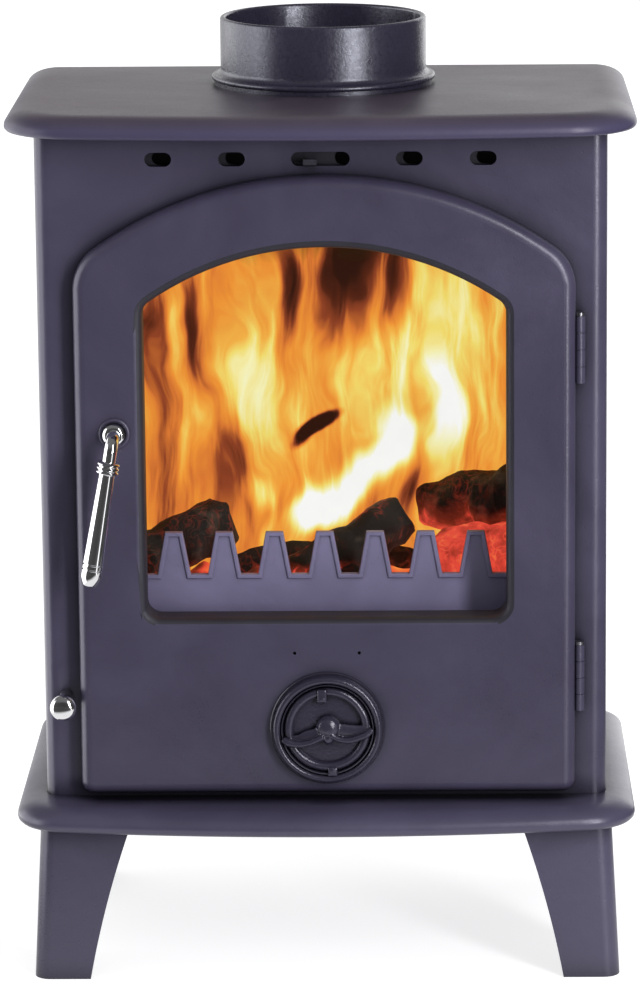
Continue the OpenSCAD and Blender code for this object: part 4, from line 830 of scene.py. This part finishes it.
def buildFire():
    woods = {name: charredWood(*wood) for name, wood in logs["woods"].items()}
    dull = charredWood(*logs["otherWood"])
    for seed, (name, radius, start, end) in enumerate(logs["list"]):
        log = buildLog(name, radius, start, end, seed + 3)
        finished(log, "stove", woods.get(name, dull), smooth=50)
    clearSelection()
    across, deep = bed["grid"]
    bpy.ops.mesh.primitive_grid_add(x_subdivisions=across, y_subdivisions=deep, size=1,
                                    location=at(0, 0, bed["height"]))
    heap = named("emberBed")
    heap.scale = (bed["size"][0] * mm, bed["size"][1] * mm, 1)
    bpy.ops.object.transform_apply(location=True, rotation=True, scale=True)
    lumps = bpy.data.textures.new("coals", "VORONOI")
    lumps.noise_scale = bed["lump"]
    coals = heap.modifiers.new("coals", "DISPLACE")
    coals.texture = lumps
    coals.strength = bed["heap"]
    coals.mid_level = bed["sunk"]
    applyAll(heap)
    pick(heap, "VERT", lambda place, normal: place.z < bed["level"])
    bpy.ops.transform.resize(value=(1, 1, 0), center_override=at(0, 0, bed["level"]))
    bpy.ops.object.mode_set(mode="OBJECT")
    finished(heap, "stove", embers("emberBed"), smooth=60)


buildFlames()
buildFire()
print("stage: flames, logs and embers are laid")


# air wheel: a turned dish with its beads, two twisted blades, a domed boss and two nubs; the
# lines of blades and webs are (x, z, height, radius), a nub (x, z, height, half sizes)
wheel = {"centre": (1.5, -93.05, 156.2), "disc": 2.0, "bead": 3.2, "full": 1.25,
         "groove": [(26.6, 1.4), (27.0, 4.7), (27.5, 5.3), (28.1, 5.2), (28.5, 1.6),
                    (28.8, 1.4)],
         "rim": [(33.2, 2.4), (33.6, 1.6), (34.5, 1.6), (35.0, 1.1), (35.0, 0), (0, 0)],
         "blades": {
             "left": [(-2.5, -3.6, 7.4, 1.7), (-6, -5.4, 7.8, 1.5), (-10.8, -7.5, 7.8, 1.5),
                      (-15.6, -8.5, 7.6, 1.6), (-20, -8.5, 7.4, 1.8), (-24, -7.6, 7.0, 2.0),
                      (-27.2, -5.6, 6.2, 1.6)],
             "right": [(2.0, -2.8, 7.4, 1.7), (5.8, -4.9, 7.8, 1.5), (10, -6.0, 7.8, 1.5),
                       (14, -6.0, 7.8, 1.6), (18.1, -4.8, 7.6, 1.7), (23.4, -2.9, 7.2, 1.7),
                       (27.4, 0.4, 6.4, 1.5)]},
         "webs": {
             "left": [(-2, -1, 5.6, 5.0), (-7, -3.4, 5.2, 4.4), (-12.5, -4.6, 4.8, 4.2),
                      (-18, -6.2, 4.6, 3.0), (-25, -5.4, 4.6, 1.8)],
             "right": [(2, 0.5, 5.6, 5.0), (7, -0.4, 5.2, 4.6), (12.5, -1.2, 4.8, 4.6),
                       (18.5, -1.0, 4.6, 3.8), (26.5, 0.8, 4.6, 2.4)]},
         "webFlat": 0.35, "webMiddle": 5,
         "boss": [(0, 2.0), (7.6, 2.0), (7.4, 5.4), (5.8, 7.8), (3.0, 9.3), (0, 9.6)],
         "lobe": [(0, 2.0), (4.6, 2.0), (4.2, 6.2), (2.4, 8.4), (0, 8.9)],
         "nubs": [(-3.2, 21.4, 5.6, 3.0, 4.2), (3.0, -26.2, 5.4, 3.0, 3.0)],
         "nubLump": [(0, 0), (2.7, 0), (2.4, 1.6), (1.2, 2.6), (0, 2.9)],
         "grain": 0.42, "ease": 0.6}


def buildNub(x, z, h, half, tall):
    cx, cy, cz = wheel["centre"]
    clearSelection()
    bpy.ops.mesh.primitive_cube_add(size=1, location=at(cx + x, cy - h / 2 - 1, cz + z))
    nub = named("nub")
    nub.scale = (2 * half * mm, h * mm, 2 * tall * mm)
    bpy.ops.object.transform_apply(location=True, rotation=True, scale=True)
    pick(nub, "FACE", lambda place, normal: normal.y < -0.9)
    bpy.ops.mesh.inset(thickness=0.9 * mm, depth=0.8 * mm)
    bpy.ops.object.mode_set(mode="OBJECT")
    inward = (tall - 2.2) * (1 if z > 0 else -1)
    lump = turned("lump", wheel["nubLump"], (cx + x, cy - h + 0.6, cz + z - inward), steps=20)
    return [nub, lump]


def buildWheel():
    cx, cy, cz = wheel["centre"]
    disc, bead, full = wheel["disc"], wheel["bead"], wheel["full"]
    profile = ([(0, 0), (0, disc), (20.2, disc)] + arcPoints(23.6, bead, 2.8, 185, -5, 10)
               + wheel["groove"] + arcPoints(31.0, bead + 2.0, 2.2, 185, 0, 8)
               + wheel["rim"])
    dish = turned("dish", profile, wheel["centre"])
    soft = []
    for name, line in wheel["blades"].items():
        ridge = [(cx + x, cy - h, cz + z, r * full) for x, z, h, r in line]
        soft.append(lofted("ridge_" + name, ridge, 12))
    for name, line in wheel["webs"].items():
        web = lofted("web_" + name, [(cx + x, cy - h, cz + z, r) for x, z, h, r in line], 14)
        pick(web, "FACE", lambda place, normal: True)
        # flattened, so that it lies deeper than the ridge
        bpy.ops.transform.resize(value=(1, wheel["webFlat"], 1),
                                 center_override=at(cx, cy - wheel["webMiddle"], cz))
        bpy.ops.object.mode_set(mode="OBJECT")
        soft.append(web)
    soft.append(turned("boss", wheel["boss"], (cx + 0.4, cy, cz + 1.2), steps=32))
    soft.append(turned("lobe", wheel["lobe"], (cx + 0.6, cy, cz - 5.0), steps=24))
    for nub in wheel["nubs"]:
        soft += buildNub(*nub)
    cast = joined("blades", soft)
    mould = cast.modifiers.new("cast", "REMESH")
    mould.mode = "VOXEL"
    mould.voxel_size = wheel["grain"] * mm
    ease = cast.modifiers.new("ease", "SMOOTH")
    ease.factor = wheel["ease"]
    ease.iterations = 5
    applyAll(cast)
    whole = joined("airWheel", [dish, cast])
    finished(whole, "air_wheel", wheelPaint, ["air_wheel"], smooth=40)


# handle: a boss, a bent round rod and a turned grip, drawn hanging plumb and then tilted; a
# point of the grip is (radius, height from the rod's axis)
handle = {"spindle": (-125, 339.5), "front": -95.1, "reach": -113, "tilt": 9.5,
          "boss": [(0, 0), (6.3, 0), (6.6, 0.4), (6.6, 3.6), (5.6, 4.9), (4.4, 5.3), (0, 5.3)],
          "rod": 4.0, "bend": 8.0, "sunk": 4, "neck": 14,
          "gripTop": [(0, -13), (5.2, -13), (5.7, -13.3)],
          "rings": 3, "ringsFrom": 13.4, "ringPitch": 2.5,
          "ring": [(6.3, 0.1), (6.8, 0.6), (6.8, 1.3), (6.3, 1.8), (5.5, 2.1)],
          "grip": [(4.75, -20.9), (4.75, -21.4), (6.25, -76.0), (5.75, -76.3), (5.75, -76.8),
                   (6.27, -77.1), (6.3, -79.2), (5.8, -79.5), (5.8, -80.0), (6.33, -80.3),
                   (6.35, -84.5), (4.5, -89.4), (4.1, -89.8), (3.2, -89.6), (0, -89.3)]}


def buildHandle():
    x, z = handle["spindle"]
    front, reach, bend = handle["front"], handle["reach"], handle["bend"]
    root = front - handle["sunk"]
    boss = turned("handleBoss", handle["boss"], (x, front, z), steps=48)
    clearSelection()
    bpy.ops.mesh.primitive_circle_add(vertices=32, radius=handle["rod"] * mm, fill_type="NGON",
                                      location=at(x, root, z), rotation=(radians(90), 0, 0))
    arm = named("handleArm")
    bpy.ops.object.transform_apply(location=True, rotation=True)
    bpy.ops.object.mode_set(mode="EDIT")
    bpy.ops.mesh.select_mode(type="FACE")
    bpy.ops.mesh.select_all(action="SELECT")
    outward, down = at(0, reach + bend - root, 0), at(0, 0, bend - handle["neck"])
    bpy.ops.mesh.extrude_region_move(TRANSFORM_OT_translate={"value": outward})
    bpy.ops.mesh.spin(steps=12, angle=radians(90), center=at(x, reach + bend, z - bend),
                      axis=(-1, 0, 0))
    bpy.ops.mesh.extrude_region_move(TRANSFORM_OT_translate={"value": down})
    tidyMesh()
    bpy.ops.object.mode_set(mode="OBJECT")
    grip = list(handle["gripTop"])
    for ring in range(handle["rings"]):
        low = handle["ringsFrom"] + ring * handle["ringPitch"]
        grip += [(r, -low - h) for r, h in handle["ring"]]
    bar = turned("handleGrip", grip + handle["grip"], (x, reach, z), "Z", 48)
    lever = joined("handleLever", [boss, arm, bar])
    pick(lever, "FACE", lambda place, normal: True)
    swing = Matrix.Rotation(radians(handle["tilt"]), 4, "Y").to_quaternion()
    rotateAbout(swing, at(x, reach, z))
    bpy.ops.object.mode_set(mode="OBJECT")
    finished(lever, "handle", chrome, ["handle_lever"], smooth=35)


# the painted ring that the handle turns in, and the bright knob of the riddling rod
rose = {"centre": (-125, -93.05, 339.5),
        "section": [(0, 0), (9.6, 0), (9.5, 0.5), (8.8, 1.1), (7.9, 1.3), (7.1, 1.0),
                    (6.9, 0.5), (0, 0.5)]}
knob = {"section": [(0, 0), (3.6, 0), (4.4, 1.0), (6.6, 1.8), (7.8, 3.4), (7.9, 6.2),
                    (7.5, 7.9), (6.2, 9.4), (4.2, 10.2), (2.0, 10.6), (0, 10.7)]}


def buildRoseAndKnob():
    ring = turned("handleRose", rose["section"], rose["centre"], steps=48)
    finished(ring, "door", doorPaint, ["handle_rose"], smooth=40)
    low, high = (Vector(corner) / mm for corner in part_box("riddling_knob"))
    depth = knob["section"][-1][1]
    middle = ((low.x + high.x) / 2, low.y + depth, (low.z + high.z) / 2)
    ball = turned("riddlingKnob", knob["section"], middle, steps=48)
    finished(ball, "riddling_gear", chrome, ["riddling_knob"], smooth=50)


# the door is a copy of its imported solid, outer roll and badge holes included; here its window
# edge is rolled inwards, and the return behind the roll is painted near black as painted shade
window = {"face": -93, "roll": 4.6, "left": -112, "right": 115, "low": 221,
          "middle": (3, 266.5), "arch": 192, "shadeDepth": 16}


def inWindow(place):
    x, z = window["middle"]
    between = window["left"] < place.x < window["right"] and place.z > window["low"]
    return between and (place.x - x) ** 2 + (place.z - z) ** 2 < window["arch"] ** 2


def buildDoor():
    front = window["face"]
    door = copied("door", "doorPlate")
    roundEdges(door, lambda place, way: place.y < front + 0.2 and inWindow(place),
               window["roll"], 5)
    # the flat front is split afresh, because slivers left by the rounding would show as lines
    pick(door, "FACE", lambda place, normal: normal.y < -0.9999 and place.y < front + 0.02)
    bpy.ops.mesh.dissolve_limited(angle_limit=radians(0.4))
    bpy.ops.mesh.quads_convert_to_tris(quad_method="BEAUTY", ngon_method="BEAUTY")
    bpy.ops.object.mode_set(mode="OBJECT")
    finished(door, "door", doorPaint, ["door"], smooth=26, flats=True)
    door.data.materials.append(windowReturnShade)
    # painted shade: the upright faces of the window return take the near-black tone
    for face in door.data.polygons:
        place = face.center / mm
        upright = abs(face.normal.y) < 0.9995
        if place.y < front + window["shadeDepth"] and upright and inWindow(place):
            face.material_index = 1


# the fire fence is a copy too, with its edges softened (mm)
fenceEdge = {"width": 0.9, "steps": 3, "sharper": 30}


def buildFence():
    fence = copied("fire_fence", "fireFence")
    soft = fence.modifiers.new("soft", "BEVEL")
    soft.width = fenceEdge["width"] * mm
    soft.segments = fenceEdge["steps"]
    soft.limit_method = "ANGLE"
    soft.angle_limit = radians(fenceEdge["sharper"])
    applyAll(fence)
    finished(fence, "stove", fencePaint, ["fire_fence"], smooth=40, flats=True)


buildWheel()
buildHandle()
buildRoseAndKnob()
print("stage: air wheel, handle, rose and knob are built")
buildDoor()
buildFence()
print("stage: door and fire fence are built")

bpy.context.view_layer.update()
